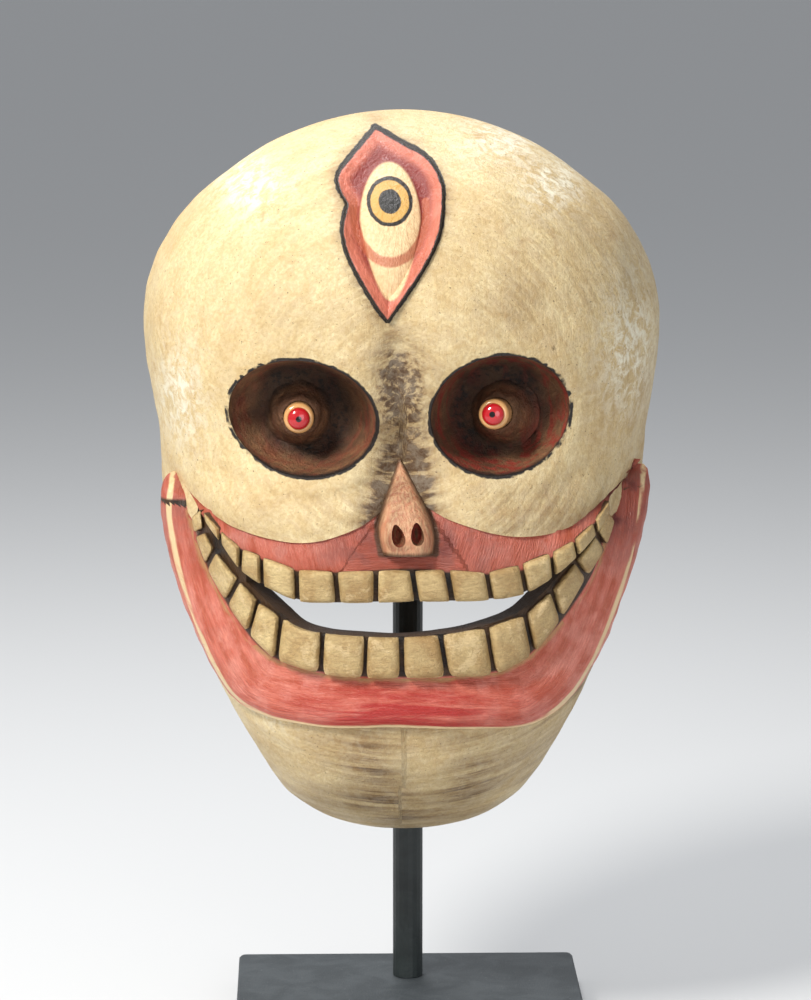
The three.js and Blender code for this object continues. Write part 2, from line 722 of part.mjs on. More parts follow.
function footPlate() {
  const { width, depth, height, bevel, corner } = base;
  const x = width / 2 - bevel;
  const y = depth / 2 - bevel;
  const outline = new THREE.Shape();
  outline.absarc(x - corner, y - corner, corner, 0, Math.PI / 2);
  outline.absarc(corner - x, y - corner, corner, Math.PI / 2, Math.PI);
  outline.absarc(corner - x, corner - y, corner, Math.PI, 1.5 * Math.PI);
  outline.absarc(x - corner, corner - y, corner, 1.5 * Math.PI, 2 * Math.PI);
  outline.closePath();
  const plate = new THREE.ExtrudeGeometry(outline, {
    depth: height - 2 * bevel,
    bevelThickness: bevel,
    bevelSize: bevel,
    bevelSegments: 1,
    curveSegments: 3,
  });
  plate.translate(0, 0, bevel);
  return toManifold(plate);
}

// ---------------------------------------------------------------- assembly

const bone = new THREE.MeshStandardMaterial({ color: 0xc9b078, roughness: 0.7 });
const lacquer = new THREE.MeshStandardMaterial({ color: 0xb5202c, roughness: 0.2 });
const blackSteel = new THREE.MeshStandardMaterial({ color: 0x22282a, roughness: 0.45, metalness: 0.3 });
const slateSteel = new THREE.MeshStandardMaterial({ color: 0x34383c, roughness: 0.6, metalness: 0.3 });

function piece(name, geometry, material) {
  const mesh = new THREE.Mesh(geometry, material);
  mesh.name = name;
  return mesh;
}

const group = new THREE.Group();
group.add(piece('mask', toGeometry(maskSolid()), bone));
for (const socket of sockets) {
  group.add(piece(`eye_peg_${socket.side}`, toGeometry(toManifold(pegGeometry(socket, 0))), lacquer));
}
group.add(piece('stand_post', toGeometry(standPost()), blackSteel));
group.add(piece('stand_base', toGeometry(footPlate()), slateSteel));

export default group;
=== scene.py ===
"""Looks of a papier-mache skull dance mask on its rod stand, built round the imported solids."""

import logging
import math
from collections.abc import Callable, Sequence
from dataclasses import dataclass
from enum import Enum

import bmesh
import bpy
import numpy as np
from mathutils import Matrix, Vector


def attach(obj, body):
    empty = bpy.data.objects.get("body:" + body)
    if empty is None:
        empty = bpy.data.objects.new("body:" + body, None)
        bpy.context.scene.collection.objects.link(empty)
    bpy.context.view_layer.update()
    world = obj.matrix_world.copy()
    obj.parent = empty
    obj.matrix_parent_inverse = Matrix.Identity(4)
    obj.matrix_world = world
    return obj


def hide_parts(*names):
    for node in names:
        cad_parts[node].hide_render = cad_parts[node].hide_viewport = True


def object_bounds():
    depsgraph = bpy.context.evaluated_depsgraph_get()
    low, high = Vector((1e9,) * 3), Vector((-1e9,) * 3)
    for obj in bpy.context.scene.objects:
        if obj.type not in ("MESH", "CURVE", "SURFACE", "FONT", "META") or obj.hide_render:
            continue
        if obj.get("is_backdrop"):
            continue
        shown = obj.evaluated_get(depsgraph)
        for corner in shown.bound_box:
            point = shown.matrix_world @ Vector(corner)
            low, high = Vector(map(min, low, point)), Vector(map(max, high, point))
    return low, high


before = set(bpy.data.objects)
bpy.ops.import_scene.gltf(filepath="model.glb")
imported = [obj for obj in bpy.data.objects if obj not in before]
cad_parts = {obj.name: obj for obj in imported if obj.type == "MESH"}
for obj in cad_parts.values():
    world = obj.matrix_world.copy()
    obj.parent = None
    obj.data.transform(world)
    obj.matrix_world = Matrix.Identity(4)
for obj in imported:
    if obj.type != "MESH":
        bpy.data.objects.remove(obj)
CAD_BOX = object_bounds()

MM = 0.001
BODY = "root"
log = logging.getLogger("skull_mask")

Line = tuple[tuple[float, float], ...]
Placer = Callable[[np.ndarray], np.ndarray]


# ---------------------------------------------------------------- small mathematics


def smooth_step(low: float, high: float, value: np.ndarray) -> np.ndarray:
    """Smooth ramp from 0 at low to 1 at high, also where high is the smaller."""
    t = np.clip((np.asarray(value, float) - low) / (high - low), 0, 1)
    return t * t * (3 - 2 * t)


def mix(a: np.ndarray, b: np.ndarray, t: np.ndarray) -> np.ndarray:
    """Straight blend from a to b."""
    return a + (b - a) * t


def bump(distance: np.ndarray) -> np.ndarray:
    """Bell curve, 1 at zero."""
    return np.exp(-distance * distance)


def through_values(positions: Sequence[float], values: Sequence[float], at: np.ndarray) -> np.ndarray:
    """Cubic through the values at the given positions, level at both ends.

    Args:
        positions: rising positions.
        values: the value at each position.
        at: where the curve is read.

    Returns:
        The curve's values.
    """
    pos, val = np.asarray(positions, float), np.asarray(values, float)
    x = np.clip(at, pos[0], pos[-1])
    i = np.clip(np.searchsorted(pos, x, side="left"), 1, len(pos) - 1)
    slopes = np.zeros(len(pos))
    slopes[1:-1] = (val[2:] - val[:-2]) / (pos[2:] - pos[:-2])
    step = pos[i] - pos[i - 1]
    t = (x - pos[i - 1]) / step
    t2, t3 = t * t, t * t * t
    return (
        (2 * t3 - 3 * t2 + 1) * val[i - 1]
        + (t3 - 2 * t2 + t) * step * slopes[i - 1]
        + (3 * t2 - 2 * t3) * val[i]
        + (t3 - t2) * step * slopes[i]
    )


def through_even(values: Sequence[float], t: np.ndarray) -> np.ndarray:
    """Smooth value through evenly spaced stations, free at both ends.

    Args:
        values: the stations.
        t: share of the way along, from 0 to 1.

    Returns:
        The values at t.
    """
    val = np.asarray(values, float)
    last = len(val) - 1
    place = np.clip(t, 0, 1) * last
    i = np.minimum(last - 1, np.floor(place).astype(int))
    f = place - i
    padded = np.concatenate([[2 * val[0] - val[1]], val, [2 * val[-1] - val[-2]]])
    p0, p1, p2, p3 = (padded[i + k] for k in range(4))
    return p1 + 0.5 * f * (p2 - p0 + f * (2 * p0 - 5 * p1 + 4 * p2 - p3 + f * (3 * (p1 - p2) + p3 - p0)))


def along(line: Line, t: np.ndarray) -> np.ndarray:
    """Points (x, z) of a line through its stations, with t from 0 to 1."""
    x, z = zip(*line)
    return np.stack([through_even(x, t), through_even(z, t)], axis=-1)


def height_at(line: Line, x: np.ndarray) -> np.ndarray:
    """Height of a line that runs from left to right, where it passes x."""
    samples = along(line, np.linspace(0, 1, 801))
    return np.interp(x, samples[:, 0], samples[:, 1])


def inside(points: np.ndarray, outline: np.ndarray) -> np.ndarray:
    """Whether each (x, z) point lies within a closed outline.

    Args:
        points: the points, shape (n, 2).
        outline: the outline's corners, shape (m, 2).

    Returns:
        True where a point is inside.
    """
    found = np.zeros(len(points), bool)
    for a, b in zip(outline, np.roll(outline, -1, axis=0)):
        if a[1] == b[1]:
            continue
        crosses = (a[1] > points[:, 1]) != (b[1] > points[:, 1])
        found ^= crosses & (points[:, 0] < (b[0] - a[0]) * (points[:, 1] - a[1]) / (b[1] - a[1]) + a[0])
    return found


def nearest(points: np.ndarray, path: np.ndarray) -> tuple[np.ndarray, np.ndarray]:
    """Finds the closest place of a dense path.

    Args:
        points: the (x, z) points.
        path: the path's corners.

    Returns:
        Each point's distance from the path, and how far along the path its closest place lies.
    """
    best, place, run = np.full(len(points), 1e9), np.zeros(len(points)), 0.0
    for a, b in zip(path[:-1], path[1:]):
        span = b - a
        t = np.clip(((points - a) @ span) / max(1e-9, span @ span), 0, 1)
        far = np.hypot(*(points - a - t[:, None] * span).T)
        place = np.where(far < best, run + t * math.hypot(*span), place)
        best = np.minimum(best, far)
        run += math.hypot(*span)
    return best, place


def distance(points: np.ndarray, path: np.ndarray) -> np.ndarray:
    """Shortest distance from each (x, z) point to a dense path."""
    return nearest(points, path)[0]


def within(points: np.ndarray, outline: np.ndarray) -> np.ndarray:
    """Distance of each (x, z) point from a closed outline, positive inside it."""
    closed = np.vstack([outline, outline[:1]])
    return np.where(inside(points, outline), 1, -1) * distance(points, closed)


def ripples(points: np.ndarray, wavelength: float, seed: int) -> np.ndarray:
    """Smooth hand-made unevenness, about -1 to 1, from a few crossing waves.

    Args:
        points: places, shape (n, 3).
        wavelength: the typical distance between two crests.
        seed: chooses the waves.

    Returns:
        One value for each place.
    """
    chance = np.random.default_rng(seed)
    total = np.zeros(len(points))
    waves = 9
    for _ in range(waves):
        heading = chance.normal(size=3)
        heading *= 2 * math.pi / (wavelength * chance.uniform(0.7, 1.5)) / np.linalg.norm(heading)
        total += np.sin(points @ heading + chance.uniform(0, 2 * math.pi))
    return total / math.sqrt(waves)


# ---------------------------------------------------------------- meshes


class Join(Enum):
    """How one closed body is combined with another."""

    ADD = "UNION"
    CUT = "DIFFERENCE"
    KEEP = "INTERSECT"


def to_object(name: str, bm: bmesh.types.BMesh, place: Placer | None = None) -> bpy.types.Object:
    """Closes a bmesh into an object whose vertices are moved by a function.

    Args:
        name: the object's name.
        bm: the bmesh, which is freed.
        place: takes the vertices' own coordinates and gives where they go, in millimetres.

    Returns:
        The object, linked to the scene, faces pointing outwards.
    """
    if place is not None:
        before = np.array([v.co for v in bm.verts])
        for vert, co in zip(bm.verts, place(before)):
            vert.co = co
    bmesh.ops.recalc_face_normals(bm, faces=bm.faces)
    if bm.calc_volume(signed=True) < 0:
        bmesh.ops.reverse_faces(bm, faces=bm.faces)
    mesh = bpy.data.meshes.new(name)
    bm.to_mesh(mesh)
    bm.free()
    obj = bpy.data.objects.new(name, mesh)
    bpy.context.scene.collection.objects.link(obj)
    return obj


def egg(name: str, around: int, rows: int, place: Callable[[np.ndarray, np.ndarray], np.ndarray]) -> bpy.types.Object:
    """A closed egg: a sphere whose points are placed by azimuth and polar angle.

    Args:
        name: the object's name.
        around: meridians.
        rows: bands from pole to pole.
        place: takes azimuths (0 faces -Y) and polar angles and gives points.

    Returns:
        The object.
    """
    bm = bmesh.new()
    bmesh.ops.create_uvsphere(bm, u_segments=around, v_segments=rows, radius=1)

    def by_angle(co: np.ndarray) -> np.ndarray:
        """Reads each vertex's angles and places it."""
        polar = np.arccos(np.clip(co[:, 2], -1, 1))
        azimuth = np.where(np.hypot(co[:, 0], co[:, 1]) < 1e-5, 0, np.arctan2(co[:, 0], -co[:, 1]))
        return place(azimuth, polar)

    return to_object(name, bm, by_angle)


def add_slab(bm: bmesh.types.BMesh, columns: int, rows: int, place: Callable[..., np.ndarray]) -> None:
    """Adds a closed slab, a divided sheet given a back.

    Args:
        bm: the bmesh that it joins.
        columns: divisions along u.
        rows: divisions along v.
        place: takes u, v (0 to 1, v from top to bottom) and whether a point is on the face, and gives points.
    """
    sheet = bmesh.ops.create_grid(bm, x_segments=columns, y_segments=rows, size=0.5)["verts"]
    faces = list({f for v in sheet for f in v.link_faces})
    made = bmesh.ops.extrude_face_region(bm, geom=faces)["geom"]
    back = [g for g in made if isinstance(g, bmesh.types.BMVert)]
    for verts, front in ((sheet, True), (back, False)):
        co = np.array([v.co for v in verts])
        for vert, moved in zip(verts, place(co[:, 0] + 0.5, 0.5 - co[:, 1], front)):
            vert.co = moved


def slab(name: str, columns: int, rows: int, place: Callable[..., np.ndarray]) -> bpy.types.Object:
    """A single closed slab as an object; see add_slab."""
    bm = bmesh.new()
    add_slab(bm, columns, rows, place)
    return to_object(name, bm)


def plug(
    name: str,
    around: int,
    steps: Sequence[tuple[float, float]],
    place: Callable[[np.ndarray, np.ndarray, np.ndarray], np.ndarray],
    finer: int = 1,
) -> bpy.types.Object:
    """A closed body of rings between two poles.

    Args:
        name: the object's name.
        around: points in each ring.
        steps: (share of the outline, level) of each ring; the first and the last are the poles.
        place: takes azimuths, shares and levels and gives points.
        finer: rings made for each step.

    Returns:
        The object.
    """
    rows = (len(steps) - 1) * finer
    shares, levels = zip(*steps)

    def by_ring(azimuth: np.ndarray, polar: np.ndarray) -> np.ndarray:
        """Finds each vertex's ring and places it."""
        at = np.round(polar / math.pi * rows) / finer
        index = np.arange(len(steps))
        return place(azimuth, np.interp(at, index, shares), np.interp(at, index, levels))

    return egg(name, around, rows, by_ring)


def lathe(name: str, profile: Sequence[tuple[float, float]], sides: int, place: Placer | None = None) -> bpy.types.Object:
    """Lathe work about +Z.

    Args:
        name: the object's name.
        profile: (radius, height) pairs that start and end on the axis.
        sides: points in each ring.
        place: moves the finished vertices.

    Returns:
        The object.
    """
    bm = bmesh.new()
    verts = [bm.verts.new((radius, 0, height)) for radius, height in profile]
    edges = [bm.edges.new(pair) for pair in zip(verts[:-1], verts[1:])]
    bmesh.ops.spin(
        bm, geom=verts + edges, cent=(0, 0, 0), axis=(0, 0, 1), angle=2 * math.pi, steps=sides, use_merge=True
    )
    bmesh.ops.remove_doubles(bm, verts=bm.verts, dist=1e-4)
    return to_object(name, bm, place)


def combine(base: bpy.types.Object, other: bpy.types.Object, how: Join) -> bpy.types.Object:
    """Combines a closed body with another, which is used up.

    Args:
        base: the body that is changed.
        other: the body that is added, cut away or kept within.
        how: which of these.

    Returns:
        The base object with its new mesh.
    """
    modifier = base.modifiers.new(how.name.lower(), "BOOLEAN")
    modifier.operation = how.value
    modifier.solver = "MANIFOLD"
    modifier.object = other
    modifier.material_mode = "TRANSFER"
    made = bpy.data.meshes.new_from_object(base.evaluated_get(bpy.context.evaluated_depsgraph_get()))
    base.modifiers.clear()
    base.data = made
    bpy.data.objects.remove(other)
    return base


def dress(obj: bpy.types.Object, material: bpy.types.Material) -> bpy.types.Object:
    """Gives an object one material on all its faces."""
    obj.data.materials.clear()
    obj.data.materials.append(material)
    return obj


def finish_piece(obj: bpy.types.Object, replaced: Sequence[str], crease: float = 0.6) -> None:
    """Scales a piece to metres, smooths it, and ties it to the frame.

    Args:
        obj: the piece, in millimetres.
        replaced: the CAD nodes that it stands for.
        crease: edges that turn more than this, in radians, stay sharp.
    """
    mesh = obj.data
    co = np.empty(len(mesh.vertices) * 3, np.float32)
    mesh.vertices.foreach_get("co", co)
    mesh.vertices.foreach_set("co", co * MM)
    mesh.polygons.foreach_set("use_smooth", [True] * len(mesh.polygons))
    mesh.set_sharp_from_angle(angle=crease)
    mesh.update()
    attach(obj, BODY)
    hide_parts(*replaced)
    triangles = sum(len(p.vertices) - 2 for p in mesh.polygons)
    log.info("%s: %d triangles", obj.name, triangles)


# ---------------------------------------------------------------- the skull's form


@dataclass(frozen=True)
class SkullForm:
    """The plain skull: level rings between two poles, with its swellings."""

    crown_z: float = 402.0
    chin_z: float = 92.5
    centre_x: float = -3.0
    ring_back_y: float = 12.0
    chin_forward: float = 27.0
    squareness: float = 2.3
    back_depth: float = 84.0
    face_edge: float = 1.22
    wall: float = 7.0
    mouth_wall: float = 9.0
    rim_crown: tuple[float, float] = (75.0, 395.0)
    rim_chin: tuple[float, float] = (0.0, 92.0)
    rings: tuple[tuple[float, float, float], ...] = (
        (98, 31, -38), (105, 43.8, -51), (112, 52, -60), (120, 58, -68), (134, 67, -77), (148, 75.5, -82),
        (172, 87, -84), (193, 94.5, -85), (214, 100.5, -84.5), (238, 104.5, -81), (253, 105, -79.5),
        (271, 106.3, -82), (285, 109, -85), (300, 111.3, -87.5), (315, 112, -88.5), (333, 108.5, -86.5),
        (351, 99.9, -79.5), (365, 89, -70.5), (378, 73, -57), (388, 57.5, -41), (396, 38, -21),
    )
    cheeks: tuple[tuple[float, float, float, float, float], ...] = ((-50, 236, 8.5, 38, 24), (42, 236, 8.5, 38, 24))
    furrows: tuple[tuple[float, float, float, float, float], ...] = ((-6, 288, 4.5, 9, 40), (-6, 266, 4, 12, 13))
    creases: tuple[tuple[Line, float, float], ...] = (
        (((-80, 256), (-68, 250), (-52, 246.5), (-32, 248.5), (-14, 256)), 1.5, 2.3),
        (((13, 257), (28, 249.5), (46, 246.5), (62, 250), (74, 258)), 1.0, 2.3),
        (((-8, 268), (-4.5, 284), (-8, 299), (-5, 314)), 0.9, 2.2),
        (((-24, 262), (-19, 250), (-21, 240)), 0.8, 2.6),
        (((12, 262), (9.5, 251), (13, 241)), 0.8, 2.6),
    )

    @property
    def mid_z(self) -> float:
        """Height half way between the poles."""
        return (self.crown_z + self.chin_z) / 2

    @property
    def half_tall(self) -> float:
        """Half the distance between the poles."""
        return (self.crown_z - self.chin_z) / 2

    def ring_angle(self, z: np.ndarray) -> np.ndarray:
        """Angle of the ring at a height, 0 at the crown's pole."""
        return np.arccos(np.clip((z - self.mid_z) / self.half_tall, -1, 1))

    def ring_centre_y(self, z: np.ndarray) -> np.ndarray:
        """Where the ring at a height is widest."""
        return self.ring_back_y - self.chin_forward * smooth_step(0, 1, (250 - z) / 150)

    def _ring_table(self) -> tuple[np.ndarray, np.ndarray, np.ndarray]:
        """Angles, widths and depths of the rings, from the crown down."""
        z, half, front = (np.array(column, float)[::-1] for column in zip(*self.rings))
        angle = self.ring_angle(z)
        return angle, half / np.sin(angle), (self.ring_centre_y(z) - front) / np.sin(angle)

    def half_width(self, z: np.ndarray) -> np.ndarray:
        """Half width of the ring at a height."""
        angles, widths, _ = self._ring_table()
        angle = self.ring_angle(z)
        return np.sin(angle) * through_values(angles, widths, angle)

    def front_depth(self, z: np.ndarray) -> np.ndarray:
        """Reach of the ring in front of its widest place."""
        angles, _, depths = self._ring_table()
        angle = self.ring_angle(z)
        return np.sin(angle) * through_values(angles, depths, angle)

    def back_reach(self, z: np.ndarray) -> np.ndarray:
        """Reach of the ring behind its widest place."""
        return np.sin(self.ring_angle(z)) * self.back_depth

    def relief(self, x: np.ndarray, z: np.ndarray) -> np.ndarray:
        """Swellings of the cheeks and hollows of the brow."""
        rise = np.zeros_like(x)
        for cx, cz, swell, wide, tall in self.cheeks:
            rise += swell * bump(((x - cx) / wide) ** 2) * bump((z - cz) / tall)
        for cx, cz, depth, wide, tall in self.furrows:
            rise -= depth * bump((x - cx) / wide) * bump(((z - cz) / tall) ** 2)
        return rise

    def skin(self, azimuth: np.ndarray, z: np.ndarray, offset: np.ndarray) -> tuple[np.ndarray, np.ndarray]:
        """Points of the skull.

        Args:
            azimuth: 0 at the front, +-pi at the back.
            z: heights.
            offset: how far each point is raised in plan.

        Returns:
            The points and the directions that they are raised in.
        """
        half = self.half_width(z)
        facing = np.cos(azimuth)
        ahead = facing >= 0
        depth = np.where(ahead, self.front_depth(z), self.back_reach(z))
        power = np.where(ahead, 2 / self.squareness, 1.0)
        across = np.sign(np.sin(azimuth)) * np.abs(np.sin(azimuth)) ** power
        forth = -np.sign(facing) * np.abs(facing) ** power
        normal = np.stack([across / np.maximum(half, 1e-6), forth / np.maximum(depth, 1e-6), np.zeros_like(half)], 1)
        normal /= np.maximum(np.linalg.norm(normal, axis=1), 1e-9)[:, None]
        x = self.centre_x + half * across
        lift = offset + np.where(facing > 0, self.relief(x, z) * smooth_step(0, 0.35, facing), 0)
        points = np.stack([x, self.ring_centre_y(z) + forth * depth, z], 1)
        return points + normal * lift[:, None], normal

    def on_face(self, x: np.ndarray, z: np.ndarray, offset: np.ndarray | float) -> tuple[np.ndarray, np.ndarray]:
        """Places on the skull's front at (x, z); past the face's edge they stand out sideways from it.

        Args:
            x: places across.
            z: heights.
            offset: how far each place is raised.

        Returns:
            The points and the directions that they are raised in.
        """
        x, z = np.asarray(x, float), np.asarray(z, float)
        offset = np.broadcast_to(np.asarray(offset, float), x.shape)
        side = np.where(x < self.centre_x, -1.0, 1.0)
        low, high = np.zeros_like(x), np.full_like(x, self.face_edge)
        for _ in range(20):
            middle = (low + high) / 2
            points, _ = self.skin(side * middle, z, offset)
            short = np.abs(points[:, 0] - self.centre_x) < np.abs(x - self.centre_x)
            low, high = np.where(short, middle, low), np.where(short, high, middle)
        points, normal = self.skin(side * low, z, offset)
        points[:, 0] = x
        return points, normal

    def crowd_forward(self, azimuth: np.ndarray) -> np.ndarray:
        """More meridians on the face than behind it."""
        return azimuth - 0.32 * np.sin(azimuth) * np.abs(np.cos(azimuth / 2))

    def over_face(self, at: Callable[..., tuple]) -> Callable[..., np.ndarray]:
        """A placer for slabs that lie over the skull's front.

        Args:
            at: takes u and v and gives x, z, the levels of face and back, and the anchor level or None.

        Returns:
            The placer for add_slab.
        """

        def place(u: np.ndarray, v: np.ndarray, front: bool) -> np.ndarray:
            """Puts one side of the slab at its level."""
            x, z, face, back, anchor = at(u, v)
            level = np.broadcast_to(np.asarray(face if front else back, float), x.shape)
            start = np.broadcast_to(np.asarray(face if anchor is None else anchor, float), x.shape)
            points, normal = self.on_face(x, z, start)
            return points + normal * (level - start)[:, None]

        return place


SKULL = SkullForm()


# ---------------------------------------------------------------- the mouth's form


@dataclass(frozen=True)
class MouthForm:
    """Lines of the mouth from the left corner to the right one, and the teeth between them."""

    cheek_line: Line = (
        (-101.5, 251), (-91, 241), (-73, 233.2), (-47, 229.6), (-24, 236), (-4, 247),
        (16, 238.8), (41, 232), (64, 233.2), (83, 243.5), (100, 253),
    )
    gum_line: Line = (
        (-93, 241), (-86, 235.5), (-72.3, 226), (-50, 218.5), (-27, 218.5), (-4, 219.5),
        (18, 218), (42, 217.5), (62, 225), (76, 235), (86, 245),
    )
    tooth_foot: Line = (
        (-94, 238), (-88.5, 217.5), (-77, 197), (-60, 179), (-33, 173.3), (-6, 172.5),
        (20, 173), (42, 176), (61, 191), (76, 212), (86, 244),
    )
    lip_edge: Line = (
        (-101.5, 251), (-102.5, 230), (-92.5, 190.5), (-74, 158), (-43, 151.2), (-8, 151.8),
        (24, 150.4), (51.5, 150.4), (73, 167.5), (91.5, 211), (100, 253),
    )
    upper_bite: Line = (
        (-93, 240), (-83, 228), (-73, 215), (-60, 209), (-47, 204.8), (-20, 205.2), (0, 205.8),
        (22, 205.6), (45, 207), (56, 212), (66, 219), (76, 231), (86, 245),
    )
    lower_bite: Line = (
        (-93, 239.5), (-83, 223.5), (-73, 211), (-60, 200.5), (-47, 192.8), (-20, 190.6), (0, 190.6),
        (22, 192.6), (43, 198), (56, 206.5), (66, 217), (76, 230), (86, 244.5),
    )
    slot_ends: tuple[float, float] = (-73.0, 66.0)
    upper_sides: tuple[tuple[float, ...], ...] = (
        (-88.5, 239, -88, 235.5), (-81.1, 232.5, -80.7, 227.2), (-72.3, 226, -72.8, 216.5), (-63.6, 223.4, -63.3, 210.5),
        (-49.1, 218.8, -48.7, 204.5), (-33, 218.5, -31.8, 204.9), (-16, 218.9, -16.1, 205), (-1.1, 218.6, 0.9, 205.4),
        (13.3, 219.3, 15.8, 205.3), (29.9, 217.7, 32.1, 205.2), (44.1, 220.5, 46.8, 207.2), (57.2, 224.6, 58.6, 213.5),
        (67.1, 228.7, 68.5, 221.7), (75.9, 235.3, 77.3, 229.5), (83.4, 242.7, 83.7, 238),
    )
    lower_sides: tuple[tuple[float, ...], ...] = (
        (-89.2, 240, -93.3, 235.5), (-88, 230.6, -92, 227.6), (-83.3, 222.8, -87, 214.3), (-73.3, 211.5, -78.6, 200.2),
        (-65.4, 203.1, -69.4, 188.5), (-55.8, 197, -58.1, 178.1), (-38, 192.2, -38.9, 173.7), (-20.2, 191, -21, 172.7),
        (-5.7, 190.7, -5.3, 172.8), (10.9, 191.4, 13.9, 173), (30, 193.7, 33.6, 172.8), (46.5, 198, 50.2, 180.4),
        (57.9, 207.5, 62.2, 194.6), (68, 219, 72.9, 211.2), (77.2, 229.5, 81.8, 222.2), (82.2, 239.3, 85.8, 233.6),
    )
    lip_rise: float = 4.5
    lip_flare: float = 3.0
    lip_tip: float = 2.0
    lip_roll: float = 0.8
    lip_valley: float = -1.5
    gum_recess: float = -3.0
    gum_swell: float = 1.2
    corner_pocket: float = -4.5
    corner_share: float = 0.1
    floor: float = -5.5
    tooth_rise: float = 5.0
    corner_tooth: float = 0.5
    tooth_gap: float = 1.9

    def outline(self) -> np.ndarray:
        """The mouth's closed outline in the front view."""
        t = np.linspace(0, 1, 161)
        return np.concatenate([along(self.cheek_line, t), along(self.lip_edge, t)[::-1]])

    def place(self, u: np.ndarray, v: np.ndarray) -> tuple[np.ndarray, np.ndarray, np.ndarray]:
        """Place across the mouth, where v runs from the cheek line to the lip's edge.

        Args:
            u: share of the way from the left corner to the right one.
            v: share of the way across gum, teeth and lip.

        Returns:
            Points (x, z), the band of each (0, 1 or 2) and how far across the band each lies.
        """
        lines = (self.cheek_line, self.gum_line, self.tooth_foot, self.lip_edge)
        band = np.minimum(2, np.floor(v * 3 + 1e-6)).astype(int)
        t = np.clip(v * 3 - band, 0, 1)
        stack = np.stack([along(line, u) for line in lines])
        index = np.arange(len(u))
        return mix(stack[band, index], stack[band + 1, index], t[:, None]), band, t

    def rise(self, u: np.ndarray, v: np.ndarray) -> np.ndarray:
        """Height of the gums and lips over the skull."""
        _, band, t = self.place(u, v)
        end = np.minimum(u, 1 - u)
        corner = 1 - smooth_step(0, self.corner_share, end)
        from_tip = np.clip(end / (self.corner_share / 2), 0, 1)
        arch = np.sqrt(1 - (1 - from_tip) ** 2)
        rim = mix(self.lip_tip, self.lip_rise + self.lip_flare * (2 * u - 1) ** 2, arch)
        gum = mix(self.gum_recess, self.gum_swell, np.sin(t * math.pi / 2))
        gum = mix(gum, mix(self.gum_recess / 2, self.corner_pocket, t), corner)
        teeth = self.corner_pocket * corner
        valley = mix(self.lip_valley, self.corner_pocket, corner)
        lip = mix(valley, rim, smooth_step(0, 0.75, t)) - self.lip_roll * smooth_step(0.8, 1, t)
        return np.select([band == 0, band == 1], [gum, teeth], lip)

    def bed(self) -> bpy.types.Object:
        """Gums and lips, built up from below the mouth's floor and tucked under the cheeks."""

        def at(u: np.ndarray, v: np.ndarray) -> tuple:
            """Sheet of the gums and lips."""
            across = v ** 0.9
            points, _, _ = self.place(u, across)
            tuck = np.where(v < 1e-4, 2.0, 0.0)
            spread = np.column_stack([points, np.zeros(len(points))])
            uneven = 0.22 * ripples(spread, 12, 41) + 0.1 * ripples(spread, 5, 42)
            rolled = 1.4 * smooth_step(0.94, 1, across)
            return points[:, 0], points[:, 1] + tuck, self.rise(u, across) + uneven - rolled, self.floor - 1, 0.0

        return slab("mouth_bed", 230, 34, SKULL.over_face(at))

    def clearance(self) -> bpy.types.Object:
        """The lens between the cheek line and the middle of the lip, cleared to the mouth's floor."""

        def at(u: np.ndarray, v: np.ndarray) -> tuple:
            """Sheet over the lens."""
            points, _, _ = self.place(mix(0.03, 0.97, u), v * 0.8)
            return points[:, 0], points[:, 1], 20.0, self.floor, 0.0

        return slab("mouth_clearance", 160, 8, SKULL.over_face(at))

    def slot(self) -> bpy.types.Object:
        """The slot between the two rows of teeth, right through the wall."""

        def at(u: np.ndarray, v: np.ndarray) -> tuple:
            """Sheet over the slot."""
            x = mix(*self.slot_ends, u)
            z = mix(height_at(self.upper_bite, x), height_at(self.lower_bite, x), v)
            return x, z, 15.0, -25.0, self.tooth_rise

        return slab("mouth_slot", 90, 2, SKULL.over_face(at))

    def teeth(self) -> bpy.types.Object:
        """All the teeth, flat in front with narrow rounded edges."""
        bm = bmesh.new()
        for sides, seed, foot_round in ((self.upper_sides, 1, 0.05), (self.lower_sides, 2, 0.13)):
            chance = np.random.default_rng(seed)
            for left, right in zip(sides[:-1], sides[1:]):
                wobble = chance.uniform(-1, 1, 5)
                add_slab(bm, 14, 14, self._tooth(np.array(left), np.array(right), foot_round, wobble))
        return to_object("teeth", bm)

    def _tooth(
        self, left: np.ndarray, right: np.ndarray, foot_round: float, wobble: np.ndarray
    ) -> Callable[..., np.ndarray]:
        """Placer of one tooth.

        Args:
            left: (x, z) of the left side's top, then of its foot.
            right: the same for the right side.
            foot_round: how far the foot's corners are rounded off.
            wobble: what makes this tooth differ from the next.

        Returns:
            The placer for add_slab.
        """

        def between(end: int, share: np.ndarray) -> np.ndarray:
            """Points between the two sides at the top (end 0) or the foot (end 2)."""
            start, stop = left[end : end + 2], right[end : end + 2]
            inset = min(0.2, self.tooth_gap * (1 + 0.3 * wobble[0]) / 2 / math.hypot(*(stop - start)))
            return mix(start, stop, mix(inset, 1 - inset, share)[:, None])

        def at(u: np.ndarray, v: np.ndarray) -> tuple:
            """Sheet of the tooth's face."""
            a, b = np.sin(math.pi / 2 * (2 * u - 1)), np.sin(math.pi / 2 * (2 * v - 1))
            across = a * (1 - np.where(b > 0, foot_round, 0.04) * np.abs(b) ** 6)
            up = b * (1 - 0.05 * np.abs(a) ** 4)
            share = (across + 1) / 2
            x, z = mix(between(0, share), between(2, share), ((up + 1) / 2)[:, None]).T
            edge = np.minimum((np.abs(a) ** 8 + np.abs(b) ** 8) ** (1 / 8), 1)
            reach = self.tooth_rise * mix(1, self.corner_tooth, smooth_step(66, 88, np.abs(x - SKULL.centre_x)))
            uneven = 0.4 * wobble[1] * a + 0.3 * wobble[2] * b + 0.14 * ripples(np.stack([x, z, 0 * x], 1), 5, 31)
            return x, z, reach * (1 - 0.52 * edge**8) + uneven - 0.25 + 0.2 * wobble[3], self.floor, None

